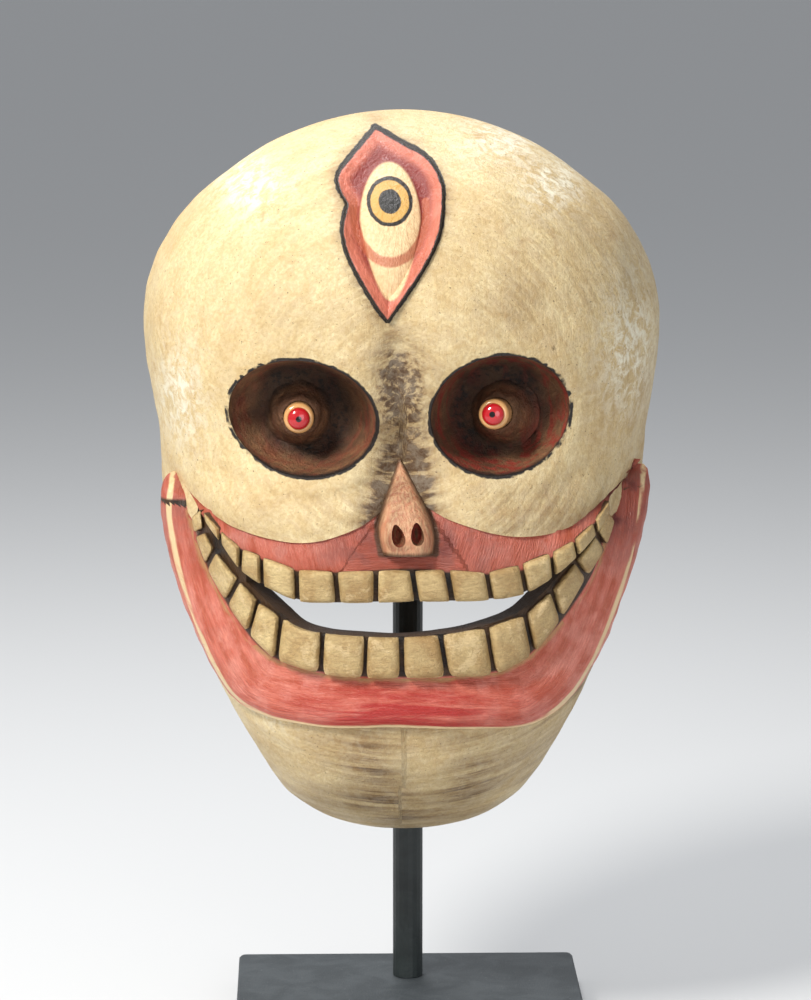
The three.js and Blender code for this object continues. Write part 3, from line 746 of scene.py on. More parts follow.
        return SKULL.over_face(at)


MOUTH = MouthForm()


# ---------------------------------------------------------------- eyes and nose


@dataclass(frozen=True)
class Socket:
    """One eye socket: its rim, the stump in the funnel behind it and the peg in the stump."""

    side: str
    x: float
    z: float
    half_width: float
    half_height: float
    turn: float
    stump_x: float
    stump_z: float
    lean_x: float
    lean_z: float
    peg_length: float
    depth: float = 30.0
    stump_height: float = 13.0
    foot_radius: float = 14.5
    top_radius: float = 8.2
    peg_radius: float = 6.4
    dome_radius: float = 4.6
    dome_rise: float = 2.4
    seat_depth: float = 4.0
    gap: float = 0.3

    def outline(self, azimuth: np.ndarray, share: np.ndarray | float = 1.0) -> np.ndarray:
        """The rim in the front view, as (x, z), scaled by a share."""
        across = np.sin(azimuth) * self.half_width * share
        up = np.cos(azimuth) * self.half_height * share
        c, s = math.cos(self.turn), math.sin(self.turn)
        return np.stack([self.x + across * c - up * s, self.z + across * s + up * c], axis=-1)

    def rim_path(self) -> np.ndarray:
        """The rim as a closed dense path."""
        return self.outline(np.linspace(0, 2 * math.pi, 121))

    def floor_y(self) -> float:
        """Depth of the funnel's floor."""
        points, _ = SKULL.on_face(np.array([self.x]), np.array([self.z]), 0.0)
        return float(points[0, 1]) + self.depth

    def funnel(self, grow: float) -> bpy.types.Object:
        """The socket's hollow, or with grow its pocket's outside."""
        floor_y = self.floor_y() + grow
        steps = (
            (0, -0.1), (1.03, -0.1), (1.015, -0.02), (1.0, 0.02), (0.985, 0.07), (0.965, 0.2), (0.92, 0.42),
            (0.86, 0.62), (0.78, 0.8), (0.68, 0.92), (0.55, 0.98), (0, 1),
        )
        wider = 1 + grow / self.half_height

        def place(azimuth: np.ndarray, share: np.ndarray, level: np.ndarray) -> np.ndarray:
            """Places a ring between the skull's surface and the floor."""
            at = self.outline(azimuth, share * wider)
            rim, _ = SKULL.on_face(at[:, 0], at[:, 1], 0.0)
            points = np.stack([at[:, 0], mix(rim[:, 1], floor_y, level), at[:, 1]], 1)
            if grow == 0:
                points[:, 1] += 0.5 * ripples(points, 9, 5) * smooth_step(0.1, 0.5, level)
            return points

        return plug(f"socket_{self.side}", 40 if grow else 110, steps, place, 1 if grow else 2)

    def pointed(self, co: np.ndarray) -> np.ndarray:
        """Turns work made about +Z so that it stands on the funnel's floor and leans out of the face."""
        aim = Vector((self.lean_x, -1, self.lean_z)).normalized()
        turn = np.array(Vector((0, 0, 1)).rotation_difference(aim).to_matrix())
        return co @ turn.T + np.array([self.stump_x, self.floor_y(), self.stump_z])

    def stump(self) -> bpy.types.Object:
        """The rough cone that carries the peg."""
        profile = [(0, -3), (self.foot_radius + 1.5, -3), (self.foot_radius + 1.5, 0.2)]
        for t in np.linspace(0, 1, 12):
            profile.append((float(mix(self.foot_radius, self.top_radius, t**0.75)), 0.6 + float(t) * (self.stump_height - 1.8)))
        profile += [(self.top_radius - 0.5, self.stump_height - 0.3), (self.top_radius - 1.4, self.stump_height), (0, self.stump_height)]

        def rough(co: np.ndarray) -> np.ndarray:
            """Hand-shaped sides."""
            radius = np.hypot(co[:, 0], co[:, 1])
            swell = 0.35 * ripples(co, 5, 11) * smooth_step(self.peg_radius + 1, self.peg_radius + 2, radius)
            out = co.copy()
            out[:, :2] *= (1 + swell / np.maximum(radius, 1))[:, None]
            return self.pointed(out)

        return lathe(f"stump_{self.side}", profile, 56, rough)

    def seat(self) -> bpy.types.Object:
        """Air that the peg stands in."""
        foot = self.stump_height - self.seat_depth
        radius = self.peg_radius + self.gap
        profile = [(0, foot), (radius, foot), (radius, foot + 12), (0, foot + 12)]
        return lathe(f"seat_{self.side}", profile, 56, self.pointed)

    def peg(self) -> bpy.types.Object:
        """The turned peg with its domed front."""
        foot = self.stump_height - self.seat_depth
        front = foot + self.peg_length
        profile = [(0, foot + self.gap), (self.peg_radius - 0.6, foot + self.gap), (self.peg_radius, foot + self.gap + 0.6)]
        profile += [(self.peg_radius, front - 2.4)]
        for turn in np.linspace(0, math.pi / 2, 7)[1:]:
            profile.append((self.dome_radius + 0.2 + (self.peg_radius - self.dome_radius - 0.2) * math.cos(turn), front - 2.4 + 2.1 * math.sin(turn)))
        profile += [(self.dome_radius + 0.05, front - 0.45), (self.dome_radius, front - 0.1)]
        for turn in np.linspace(0, math.pi / 2, 11)[1:]:
            top = turn >= math.pi / 2 - 1e-6
            profile.append((0 if top else self.dome_radius * math.cos(turn), front + self.dome_rise * math.sin(turn)))
        return lathe(f"peg_{self.side}", profile, 64, self.pointed)

    def dome_centre(self) -> np.ndarray:
        """Front of the dome."""
        top = self.stump_height - self.seat_depth + self.peg_length + self.dome_rise
        return self.pointed(np.array([[0, 0, top]]))[0]


SOCKETS = (
    Socket("left", -46.4, 281, 31.3, 24.6, -0.15, -47.5, 279, -0.01, 0.03, 11),
    Socket("right", 36, 282, 29.8, 25.6, 0.1, 37.5, 279.5, -0.2, 0.1, 15),
)


@dataclass(frozen=True)
class ThirdEye:
    """The leaf-shaped eye in the forehead, with a nick in its left side."""

    right: Line = (
        (-15, 397), (-4, 391.5), (6.5, 386), (11.8, 377.5), (12.3, 369.5), (10.4, 357), (4, 344), (-11, 322),
    )
    left_low: Line = ((-11, 322), (-17, 330), (-26.3, 346.5), (-29.5, 358), (-27.5, 368.5))
    left_high: Line = ((-27.5, 368.5), (-31, 375), (-30, 381.5), (-15, 397))
    centre: tuple[float, float] = (-9.5, 364.0)
    rise: float = 1.4
    recess: float = 3.0
    ball: tuple[float, float] = (-9.7, 362.0)
    ball_half: float = 13.5
    ball_top: float = 24.0
    ball_bottom: float = 34.0
    ball_rise: float = 1.0
    iris: tuple[float, float] = (-9.8, 369.6)

    def outline(self, azimuth: np.ndarray, share: np.ndarray | float = 1.0) -> np.ndarray:
        """The leaf in the front view, as (x, z), scaled towards its centre."""
        turn = (azimuth / (2 * math.pi)) % 1
        points = np.where(
            (turn < 0.5)[:, None],
            along(self.right, turn / 0.5),
            np.where(
                (turn < 0.78)[:, None],
                along(self.left_low, (turn - 0.5) / 0.28),
                along(self.left_high, (turn - 0.78) / 0.22),
            ),
        )
        centre = np.array(self.centre)
        return centre + (points - centre) * np.broadcast_to(np.asarray(share, float), turn.shape)[:, None]

    def path(self) -> np.ndarray:
        """The leaf as a closed dense path."""
        return self.outline(np.linspace(0, 2 * math.pi, 201)[:-1])

    def _leaf(self, name: str, steps: Sequence[tuple[float, float]], finer: int) -> bpy.types.Object:
        """A body with the leaf's outline; each step is (share, level over the skull)."""

        def place(azimuth: np.ndarray, share: np.ndarray, level: np.ndarray) -> np.ndarray:
            """Places a ring over the skull."""
            at = self.outline(azimuth, share)
            return SKULL.on_face(at[:, 0], at[:, 1], level)[0]

        return plug(name, 168, steps, place, finer)

    def clearance(self) -> bpy.types.Object:
        """The hole that the eye is built in."""
        return self._leaf("eye_clearance", ((0, 12), (1, 12), (1, -5), (0, -5)), 1)

    def rim(self) -> bpy.types.Object:
        """The sloping rim and the hollow within it."""
        steps = (
            (0, -self.recess), (0.66, -self.recess), (0.74, -self.recess * 0.8), (0.82, -self.recess * 0.35),
            (0.89, 0.1), (0.945, self.rise), (0.98, self.rise * 1.05), (1.0, self.rise * 0.75), (1.012, 0.1),
            (1.012, -6), (0, -6),
        )
        return self._leaf("eye_rim", steps, 2)

    def eyeball(self) -> bpy.types.Object:
        """The sunken ball."""
        steps = (
            (0, self.ball_rise), (0.3, self.ball_rise * 0.9), (0.55, self.ball_rise * 0.45), (0.75, -0.6),
            (0.9, -1.8), (1, -self.recess - 0.4), (1, -6), (0, -6),
        )

        def place(azimuth: np.ndarray, share: np.ndarray, level: np.ndarray) -> np.ndarray:
            """Places a ring of the ball."""
            up = np.cos(azimuth)
            reach = np.where(up > 0, self.ball_top, self.ball_bottom)
            taper = np.where(up < 0, 1 + 0.35 * up, 1)
            x = self.ball[0] + np.sin(azimuth) * self.ball_half * taper * share
            return SKULL.on_face(x, self.ball[1] + up * reach * share, level)[0]

        return plug("eyeball", 72, steps, place, 3)


THIRD_EYE = ThirdEye()


@dataclass(frozen=True)
class Nose:
    """The wedge of the nose and its two nostrils."""

    top: tuple[float, float] = (-5.8, 263.0)
    bottom: tuple[float, float] = (-2.7, 225.5)
    half_widths: tuple[float, ...] = (0.8, 5.2, 9.4, 12.1, 11.3)
    rise: float = 12.1
    nostrils: tuple[tuple[float, float, float], ...] = ((-7.1, 234.3, -0.25), (0.9, 235.0, -0.08))
    nostril_half: float = 2.6
    nostril_tall: float = 4.8
    nostril_depth: float = 8.0

    def place(self, side: np.ndarray, v: np.ndarray) -> np.ndarray:
        """Points (x, z) from one side (-1) to the other (1), with v from the root (0) to the tip (1)."""
        middle = mix(np.array(self.top), np.array(self.bottom), v[:, None])
        return middle + np.stack([side * through_even(self.half_widths, v), 0 * side], 1)

    def outline(self) -> np.ndarray:
        """The nose's closed outline in the front view."""
        v = np.linspace(0, 1, 41)
        return np.concatenate([self.place(-np.ones(41), v), self.place(np.ones(41), v)[::-1]])

    def body(self) -> bpy.types.Object:
        """The wedge, rounded over its ridge and swollen round the nostrils."""

        def at(u: np.ndarray, v: np.ndarray) -> tuple:
            """Sheet of the nose."""
            side = np.sin(math.pi / 2 * (2 * u - 1))
            swell = np.sin(v * math.pi / 2)
            ridge = self.rise * swell * (1 - 0.25 * smooth_step(0.8, 1, v))
            round_off = np.maximum(0, 1 - np.abs(side) ** 3) ** 0.6
            x, z = self.place(side, v).T
            uneven = 0.2 * ripples(np.stack([x, z, 0 * x], 1), 6, 51) * round_off - 0.2
            return x, z, mix(-4, ridge, round_off) + uneven, -7.0, None

        return slab("nose", 36, 40, SKULL.over_face(at))

    def holes(self) -> list[bpy.types.Object]:
        """The nostrils, wider at their foot."""
        made = []
        for x, z, lean in self.nostrils:
            front = SKULL.on_face(np.array([x]), np.array([z]), self.rise)[0][0]
            c, s = math.cos(lean), math.sin(lean)

            def drop(azimuth: np.ndarray, polar: np.ndarray) -> np.ndarray:
                """Places one nostril's points."""
                narrow = 1 - 0.3 * np.cos(polar)
                across = np.sin(polar) * np.sin(azimuth) * self.nostril_half * narrow
                deep = -np.sin(polar) * np.cos(azimuth) * self.nostril_depth
                up = np.cos(polar) * self.nostril_tall
                return front + np.stack([across * c + up * s, 1 + deep, up * c - across * s], 1)

            made.append(egg("nostril", 32, 24, drop))
        return made


NOSE = Nose()


# ---------------------------------------------------------------- materials


class Weaver:
    """Writes shader nodes into a node tree."""

    def __init__(self, tree: bpy.types.NodeTree) -> None:
        """Starts on an empty tree."""
        self.tree = tree
        tree.nodes.clear()
        self.column = 0

    def node(self, kind: str, inputs: dict | None = None, **settings: object) -> bpy.types.Node:
        """Adds a node.

        Args:
            kind: the node type's name without its ShaderNode prefix.
            inputs: socket name or index to a value or to another node's output.
            settings: the node's own properties.

        Returns:
            The node.
        """
        name = kind if kind.startswith("NodeGroup") else f"ShaderNode{kind}"
        made = self.tree.nodes.new(name)
        made.location = (180 * (self.column % 12), -220 * (self.column // 12))
        self.column += 1
        for key, value in settings.items():
            setattr(made, key, value)
        for key, value in (inputs or {}).items():
            socket = made.inputs[key]
            if isinstance(value, bpy.types.NodeSocket):
                self.tree.links.new(value, socket)
            else:
                socket.default_value = value
        return made

    def place(self) -> bpy.types.NodeSocket:
        """Object coordinates."""
        return self.node("TexCoord").outputs["Object"]

    def attribute(self, name: str) -> bpy.types.NodeSocket:
        """A number stored on the mesh."""
        return self.node("Attribute", attribute_name=name).outputs["Fac"]

    def stretched(self, vector: bpy.types.NodeSocket, scale: Sequence[float], turn: Sequence[float] = (0, 0, 0)) -> bpy.types.NodeSocket:
        """Coordinates scaled and turned, so that a pattern runs one way."""
        inputs = {"Vector": vector, "Scale": tuple(scale), "Rotation": tuple(turn)}
        return self.node("Mapping", inputs).outputs["Vector"]

    def noise(self, vector: bpy.types.NodeSocket, scale: float, detail: float = 4, rough: float = 0.55, twist: float = 0) -> bpy.types.NodeSocket:
        """Noise, mostly from 0.3 to 0.7."""
        inputs = {"Vector": vector, "Scale": scale, "Detail": detail, "Roughness": rough, "Distortion": twist}
        return self.node("TexNoise", inputs).outputs["Fac"]

    def lengthwise(self, run: str, across: str, stretch: float) -> bpy.types.NodeSocket:
        """Coordinates from two numbers on the mesh, stretched along the first of them.

        Args:
            run: attribute with the way along, in millimetres.
            across: attribute with the way across, in millimetres.
            stretch: how many times longer than wide the pattern becomes.

        Returns:
            The coordinates, in metres.
        """
        x = self.maths("MULTIPLY", self.attribute(run), MM / stretch)
        y = self.maths("MULTIPLY", self.attribute(across), MM)
        return self.node("CombineXYZ", {"X": x, "Y": y}).outputs[0]

    def maths(self, operation: str, a: object, b: object = 0.5, clamp: bool = False) -> bpy.types.NodeSocket:
        """One sum on two numbers."""
        return self.node("Math", {0: a, 1: b}, operation=operation, use_clamp=clamp).outputs[0]

    def ramp(self, value: object, low: float, high: float, to_low: float = 0, to_high: float = 1) -> bpy.types.NodeSocket:
        """A value remapped smoothly from one range to another."""
        inputs = {"Value": value, "From Min": low, "From Max": high, "To Min": to_low, "To Max": to_high}
        return self.node("MapRange", inputs, interpolation_type="SMOOTHSTEP").outputs["Result"]

    def blend(self, fac: object, a: object, b: object, mode: str = "MIX") -> bpy.types.NodeSocket:
        """Two colours mixed."""
        made = self.node("Mix", data_type="RGBA", blend_type=mode)
        sockets = [s for s in made.inputs if s.enabled]
        for socket, value in zip(sockets, (fac, a, b)):
            if isinstance(value, bpy.types.NodeSocket):
                self.tree.links.new(value, socket)
            elif isinstance(value, (int, float)):
                socket.default_value = value
            else:
                socket.default_value = (*linear(value), 1)
        return next(s for s in made.outputs if s.enabled)


def linear(colour: Sequence[float]) -> tuple[float, float, float]:
    """Turns a paint colour given in 0 to 255 into a shader's linear one."""
    return tuple((c / 255 / 12.92 if c / 255 <= 0.04045 else ((c / 255 + 0.055) / 1.055) ** 2.4) for c in colour[:3])


def group(name: str, inputs: Sequence[tuple[str, str, object]], outputs: Sequence[tuple[str, str]]) -> tuple[bpy.types.NodeTree, Weaver, bpy.types.Node, bpy.types.Node]:
    """Starts a shader node group.

    Args:
        name: the group's name.
        inputs: (name, socket type, value) of each input.
        outputs: (name, socket type) of each output.

    Returns:
        The group, its weaver, and its input and output nodes.
    """
    tree = bpy.data.node_groups.new(name, "ShaderNodeTree")
    for label, kind, value in inputs:
        socket = tree.interface.new_socket(label, in_out="INPUT", socket_type=kind)
        if value is not None:
            socket.default_value = value
    for label, kind in outputs:
        tree.interface.new_socket(label, in_out="OUTPUT", socket_type=kind)
    weaver = Weaver(tree)
    return tree, weaver, weaver.node("NodeGroupInput"), weaver.node("NodeGroupOutput")


def weathering_group() -> bpy.types.NodeTree:
    """Cloudy staining, fine speckle, worn patches and pits of old paint over pulp."""
    tree, w, start, end = group(
        "old paint",
        [("Vector", "NodeSocketVector", None), ("Size", "NodeSocketFloat", 1.0)],
        [("Clouds", "NodeSocketFloat"), ("Speckle", "NodeSocketFloat"), ("Worn", "NodeSocketFloat"), ("Pits", "NodeSocketFloat")],
    )
    vector = w.node("VectorMath", {0: start.outputs["Vector"], "Scale": start.outputs["Size"]}, operation="SCALE").outputs[0]
    clouds = w.ramp(w.noise(vector, 28, 6, 0.62, 0.8), 0.36, 0.66)
    fine = w.ramp(w.noise(vector, 420, 4, 0.7), 0.34, 0.68)
    patches = w.noise(vector, 34, 3, 0.5, 1.2)
    flakes = w.noise(vector, 300, 5, 0.75)
    worn = w.ramp(w.maths("ADD", w.maths("MULTIPLY", patches, 0.62), w.maths("MULTIPLY", flakes, 0.38)), 0.555, 0.6)
    pits = w.ramp(w.noise(vector, 520, 2, 0.5), 0.70, 0.76)
    for label, value in (("Clouds", clouds), ("Speckle", fine), ("Worn", worn), ("Pits", pits)):
        tree.links.new(value, end.inputs[label])
    return tree


def brush_group() -> bpy.types.NodeTree:
    """Streaks that a stiff brush leaves, along the vector's Z."""
    tree, w, start, end = group(
        "brush marks",
        [("Vector", "NodeSocketVector", None)],
        [("Broad", "NodeSocketFloat"), ("Hairs", "NodeSocketFloat")],
    )
    vector = start.outputs["Vector"]
    broad = w.ramp(w.noise(w.stretched(vector, (1, 1, 0.16)), 150, 3, 0.6, 0.4), 0.32, 0.68)
    hairs = w.ramp(w.noise(w.stretched(vector, (1, 1, 0.07)), 700, 3, 0.7), 0.32, 0.68)
    tree.links.new(broad, end.inputs["Broad"])
    tree.links.new(hairs, end.inputs["Hairs"])
    return tree


@dataclass(frozen=True)
class Palette:
    """Paint colours of the mask, 0 to 255."""

    ivory: tuple[int, int, int] = (233, 213, 163)
    straw: tuple[int, int, int] = (212, 183, 130)
    ochre: tuple[int, int, int] = (181, 143, 92)
    umber: tuple[int, int, int] = (112, 80, 45)
    bistre: tuple[int, int, int] = (72, 49, 27)
    soot: tuple[int, int, int] = (30, 22, 17)
    chalk: tuple[int, int, int] = (240, 232, 208)
    rose: tuple[int, int, int] = (214, 122, 100)
    pink: tuple[int, int, int] = (230, 154, 136)
    terracotta: tuple[int, int, int] = (184, 92, 64)
    crimson: tuple[int, int, int] = (172, 42, 36)
    oxblood: tuple[int, int, int] = (98, 30, 22)
    cream: tuple[int, int, int] = (232, 206, 158)


PALETTE = Palette()


class Finishes:
    """All materials of the part, made once."""

    def __init__(self) -> None:
        """Builds the shared groups first."""
        self.weathering = weathering_group()
        self.brush = brush_group()

    def _start(self, name: str) -> tuple[bpy.types.Material, Weaver]:
        """An empty material and its weaver."""
        material = bpy.data.materials.new(name)
        material.use_nodes = True
        return material, Weaver(material.node_tree)

    def _finish(self, w: Weaver, colour: bpy.types.NodeSocket, rough: object, height: object, bump_mm: float, **extra: object) -> None:
        """Adds the shader and its bump.

        Args:
            w: the material's weaver.
            colour: base colour.
            rough: roughness.
            height: relief from 0 to 1.
            bump_mm: what a height of 1 stands for.
            extra: other constants of the shader, by socket name with spaces as underscores.
        """
        bump_node = w.node("Bump", {"Height": height, "Distance": bump_mm * MM, "Strength": 1.0})
        inputs = {"Base Color": colour, "Roughness": rough, "Normal": bump_node.outputs[0]}
        inputs.update({key.replace("_", " "): value for key, value in extra.items()})
        shader = w.node("BsdfPrincipled", inputs)
        out = w.node("OutputMaterial")
        w.tree.links.new(shader.outputs[0], out.inputs["Surface"])

    def _group(self, w: Weaver, tree: bpy.types.NodeTree, **inputs: object) -> bpy.types.Node:
        """Places a shared group."""
        made = w.node("Group", node_tree=tree)
        for key, value in inputs.items():
            if isinstance(value, bpy.types.NodeSocket):
                w.tree.links.new(value, made.inputs[key])
            else:
                made.inputs[key].default_value = value
        return made

    def bone(self) -> bpy.types.Material:
        """Aged ivory paint of the skull, brushed round the brow, stained and worn, with painted shade towards the chin
        and the right side and painted highlights on the lit top and temple edges.
        """
        material, w = self._start("aged bone paint")
        place = w.place()
        old = self._group(w, self.weathering, Vector=place, Size=1.0)
        marks = self._group(w, self.brush, Vector=place)
        sweep = w.lengthwise("round_brow", "from_brow", 7)
        streaks = w.ramp(w.noise(sweep, 260, 4, 0.65, 0.3), 0.3, 0.7)
        mottle = w.ramp(w.noise(place, 620, 5, 0.72), 0.36, 0.66)
        tone = w.maths("ADD", w.maths("MULTIPLY", old.outputs["Clouds"], 0.55), w.maths("MULTIPLY", streaks, 0.45))
        colour = w.blend(tone, PALETTE.ivory, PALETTE.straw)
        colour = w.blend(w.maths("MULTIPLY", mottle, 0.42), colour, PALETTE.ochre)
        blotch = w.ramp(w.noise(place, 46, 5, 0.66, 1.5), 0.56, 0.72, 0, 0.55)
        colour = w.blend(blotch, colour, PALETTE.ochre)
        # brown staining together with painted shade towards the chin and the right side
        stain_and_shade = w.attribute("stain_and_shade")
        ragged = w.maths("MULTIPLY", stain_and_shade, w.maths("ADD", 0.55, w.maths("MULTIPLY", streaks, 0.9)), clamp=True)
        colour = w.blend(ragged, colour, PALETTE.umber)
        colour = w.blend(w.ramp(ragged, 0.62, 1.0, 0, 0.75), colour, PALETTE.bistre)
        # pale chalk where paint is rubbed down, and painted highlights on the lit top and temple edges
        rubbed_and_highlit = w.maths("MULTIPLY", w.attribute("worn"), w.ramp(w.noise(place, 190, 6, 0.75, 0.6), 0.4, 0.62))
        colour = w.blend(rubbed_and_highlit, colour, PALETTE.chalk)
        dots = w.ramp(w.noise(place, 880, 2, 0.5), 0.69, 0.75, 0, 0.75)
        colour = w.blend(dots, colour, PALETTE.bistre)
        edge = w.maths("ADD", w.attribute("line"), w.maths("MULTIPLY", w.noise(place, 300, 3), 1.2))
        colour = w.blend(w.ramp(edge, 1.15, 1.6, 1, 0), colour, PALETTE.soot)
        height = w.maths("ADD", w.maths("MULTIPLY", mottle, 0.4), w.maths("MULTIPLY", streaks, 0.45))
        height = w.maths("ADD", height, w.maths("MULTIPLY", marks.outputs["Hairs"], 0.25))
        self._finish(w, colour, w.ramp(old.outputs["Clouds"], 0, 1, 0.42, 0.6), height, 0.35)
        return material

    def lips(self) -> bpy.types.Material:
        """Rose and crimson paint of gums and lips, brushed along them, dark between the teeth, with painted shade under
        the nose, on the upper gums and in the corners.
        """
        material, w = self._start("rose lip paint")
        place = w.place()
        sweep = w.lengthwise("along_lip", "lip", 9)
        broad = w.ramp(w.noise(sweep, 330, 3, 0.6, 0.4), 0.32, 0.66)
        hairs = w.ramp(w.noise(sweep, 1300, 3, 0.7), 0.3, 0.7)
        blot = w.ramp(w.noise(place, 90, 4, 0.6), 0.42, 0.66)
        colour = w.blend(broad, PALETTE.rose, PALETTE.terracotta)
        colour = w.blend(w.maths("MULTIPLY", blot, 0.6), colour, PALETTE.pink)
        colour = w.blend(w.maths("MULTIPLY", hairs, 0.3), colour, PALETTE.crimson)
        glow = w.maths("MULTIPLY", w.attribute("crimson"), w.maths("ADD", 0.45, w.maths("MULTIPLY", broad, 0.8)), clamp=True)
        colour = w.blend(glow, colour, PALETTE.crimson)
        # painted shade under the nose, on the upper gums and in the mouth's corners
        painted_gum_shade = w.maths("MULTIPLY", w.attribute("painted_gum_shade"), w.maths("ADD", 0.6, w.maths("MULTIPLY", blot, 0.5)), clamp=True)
        colour = w.blend(painted_gum_shade, colour, PALETTE.oxblood)
        fringe = w.maths("ADD", w.attribute("lip"), w.maths("MULTIPLY", w.noise(sweep, 240, 3), 2.6))
        colour = w.blend(w.ramp(fringe, 1.9, 2.7, 0.9, 0), colour, PALETTE.cream)
        inner = w.maths("ADD", w.attribute("to_teeth"), w.maths("MULTIPLY", w.noise(place, 150, 3), 3.2))
        colour = w.blend(w.ramp(inner, 2.2, 4.4, 0.75, 0), colour, PALETTE.ochre)
        between = w.ramp(w.attribute("in_teeth"), -0.5, 0.9)
        colour = w.blend(between, colour, w.blend(blot, PALETTE.bistre, PALETTE.soot))
        edge = w.maths("ADD", w.attribute("nose_line"), w.maths("MULTIPLY", w.noise(place, 300, 3), 1.2))
        colour = w.blend(w.ramp(edge, 1.3, 2.6, 0.9, 0), colour, PALETTE.bistre)
        self._finish(w, colour, 0.42, hairs, 0.3)
        return material

    def nose(self) -> bpy.types.Material:
        """Brown-pink paint of the nose, rubbed pale on its ridge."""
        material, w = self._start("nose paint")
        place = w.place()
        marks = self._group(w, self.brush, Vector=place)
        colour = w.blend(marks.outputs["Broad"], (196, 132, 98), (140, 84, 58))
        colour = w.blend(w.maths("MULTIPLY", marks.outputs["Hairs"], 0.35), colour, PALETTE.cream)
        edge = w.maths("ADD", w.attribute("nose_line"), w.maths("MULTIPLY", w.noise(place, 300, 3), 1.2))
        colour = w.blend(w.ramp(edge, 0.9, 2.6, 0.9, 0), colour, PALETTE.bistre)
        self._finish(w, colour, 0.45, marks.outputs["Hairs"], 0.3)
        return material

    def teeth(self) -> bpy.types.Material:
        """Cream paint of the teeth, darkened by brown staining and by painted shade towards the right, palest at the
        lower left.
        """
        material, w = self._start("tooth paint")
        place = w.place()
        old = self._group(w, self.weathering, Vector=place, Size=2.0)
        level = w.ramp(w.noise(w.stretched(place, (0.3, 1, 1)), 900, 4, 0.7), 0.34, 0.68)
        colour = w.blend(w.maths("MULTIPLY", old.outputs["Clouds"], 0.7), (222, 196, 140), (176, 138, 82))
        colour = w.blend(w.maths("MULTIPLY", level, 0.3), colour, PALETTE.umber)
        # brown staining together with painted shade towards the right
        colour = w.blend(w.maths("MULTIPLY", w.attribute("stain_and_shade"), 0.75), colour, (134, 98, 54))
        colour = w.blend(w.maths("MULTIPLY", old.outputs["Worn"], 0.4), colour, PALETTE.cream)
        sides = w.maths("ADD", w.attribute("tooth_rise"), w.maths("MULTIPLY", w.noise(place, 420, 3), 1.6))
        colour = w.blend(w.ramp(sides, 1.6, 3.1, 1, 0), colour, PALETTE.bistre)
        self._finish(w, colour, 0.42, w.maths("ADD", old.outputs["Speckle"], level), 0.18)
        return material

    def sockets(self) -> bpy.types.Material:
        """Brown smoked paint in the eye sockets, red near the rim and black round the stump."""
        material, w = self._start("smoked socket paint")
        place = w.place()
        old = self._group(w, self.weathering, Vector=place, Size=1.6)
        mottle = w.ramp(w.noise(place, 380, 5, 0.72), 0.34, 0.66)
        colour = w.blend(old.outputs["Clouds"], (148, 106, 70), (98, 64, 40))
        colour = w.blend(w.maths("MULTIPLY", mottle, 0.45), colour, (72, 46, 30))
        red = w.ramp(w.noise(w.stretched(place, (1, 1, 0.25)), 160, 4, 0.65, 0.6), 0.44, 0.62)
        red = w.maths("MULTIPLY", red, w.attribute("flush"))
        colour = w.blend(red, colour, (146, 52, 36))
        black = w.maths("MULTIPLY", w.attribute("channel"), w.ramp(mottle, 0.0, 0.7, 1.0, 0.7))
        colour = w.blend(black, colour, PALETTE.soot)
        edge = w.maths("ADD", w.attribute("line"), w.maths("MULTIPLY", w.noise(place, 300, 3), 1.2))
        colour = w.blend(w.ramp(edge, 1.15, 1.9, 1, 0), colour, PALETTE.soot)
        self._finish(w, colour, 0.6, w.maths("ADD", old.outputs["Speckle"], mottle), 0.3)
        return material

    def third_eye(self) -> bpy.types.Material:
        """Rim, groove, ball and ringed pupil of the third eye."""
        material, w = self._start("third eye paint")
        place = w.place()
        marks = self._group(w, self.brush, Vector=place)
        leaf, ball, iris = w.attribute("leaf"), w.attribute("ball"), w.attribute("iris")
        colour = w.blend(marks.outputs["Broad"], PALETTE.rose, (186, 100, 76))
        colour = w.blend(w.ramp(leaf, 3.0, 7.0), colour, (128, 40, 30))
        white = w.blend(w.ramp(w.noise(place, 500, 4, 0.7), 0.35, 0.7, 0, 0.45), (236, 204, 156), (196, 148, 100))
        colour = w.blend(w.ramp(ball, -0.5, 0.7), colour, white)
        waver = w.maths("MULTIPLY", w.noise(place, 260, 3), 0.9)
        crescent = w.ramp(w.maths("ADD", w.attribute("crescent"), waver), 1.7, 2.7, 0.8, 0)
        colour = w.blend(crescent, colour, (178, 92, 62))
        ring = w.maths("ADD", iris, waver)
        colour = w.blend(w.ramp(ring, 9.7, 10.2, 1, 0), colour, PALETTE.soot)
        colour = w.blend(w.ramp(ring, 8.2, 8.7, 1, 0), colour, (206, 160, 84))
        colour = w.blend(w.ramp(ring, 4.9, 5.4, 1, 0), colour, (40, 38, 36))
        edge = w.maths("ADD", leaf, w.maths("MULTIPLY", w.noise(place, 300, 3), 0.9))
        colour = w.blend(w.ramp(edge, 1.0, 1.6, 1, 0), colour, PALETTE.soot)
        self._finish(w, colour, 0.4, marks.outputs["Hairs"], 0.25)
        return material

    def pulp(self) -> bpy.types.Material:
        """Bare brown pulp of the inside and the rim."""
        material, w = self._start("bare pulp")
        place = w.place()
        old = self._group(w, self.weathering, Vector=place, Size=0.8)
        colour = w.blend(old.outputs["Clouds"], (150, 118, 80), (104, 78, 50))
        self._finish(w, colour, 0.9, old.outputs["Speckle"], 0.6)
        return material

    def lacquer(self) -> bpy.types.Material:
        """Glossy cream and crimson of the pegs."""
        material, w = self._start("peg lacquer")
        reach = w.attribute("reach")
        colour = w.blend(w.ramp(reach, 4.5, 4.8), (186, 26, 34), (212, 160, 102))
        colour = w.blend(w.ramp(reach, 1.1, 1.4, 1, 0), colour, (20, 8, 8))
        self._finish(w, colour, 0.16, reach, 0.0, Coat_Weight=0.6, Coat_Roughness=0.06)
        return material

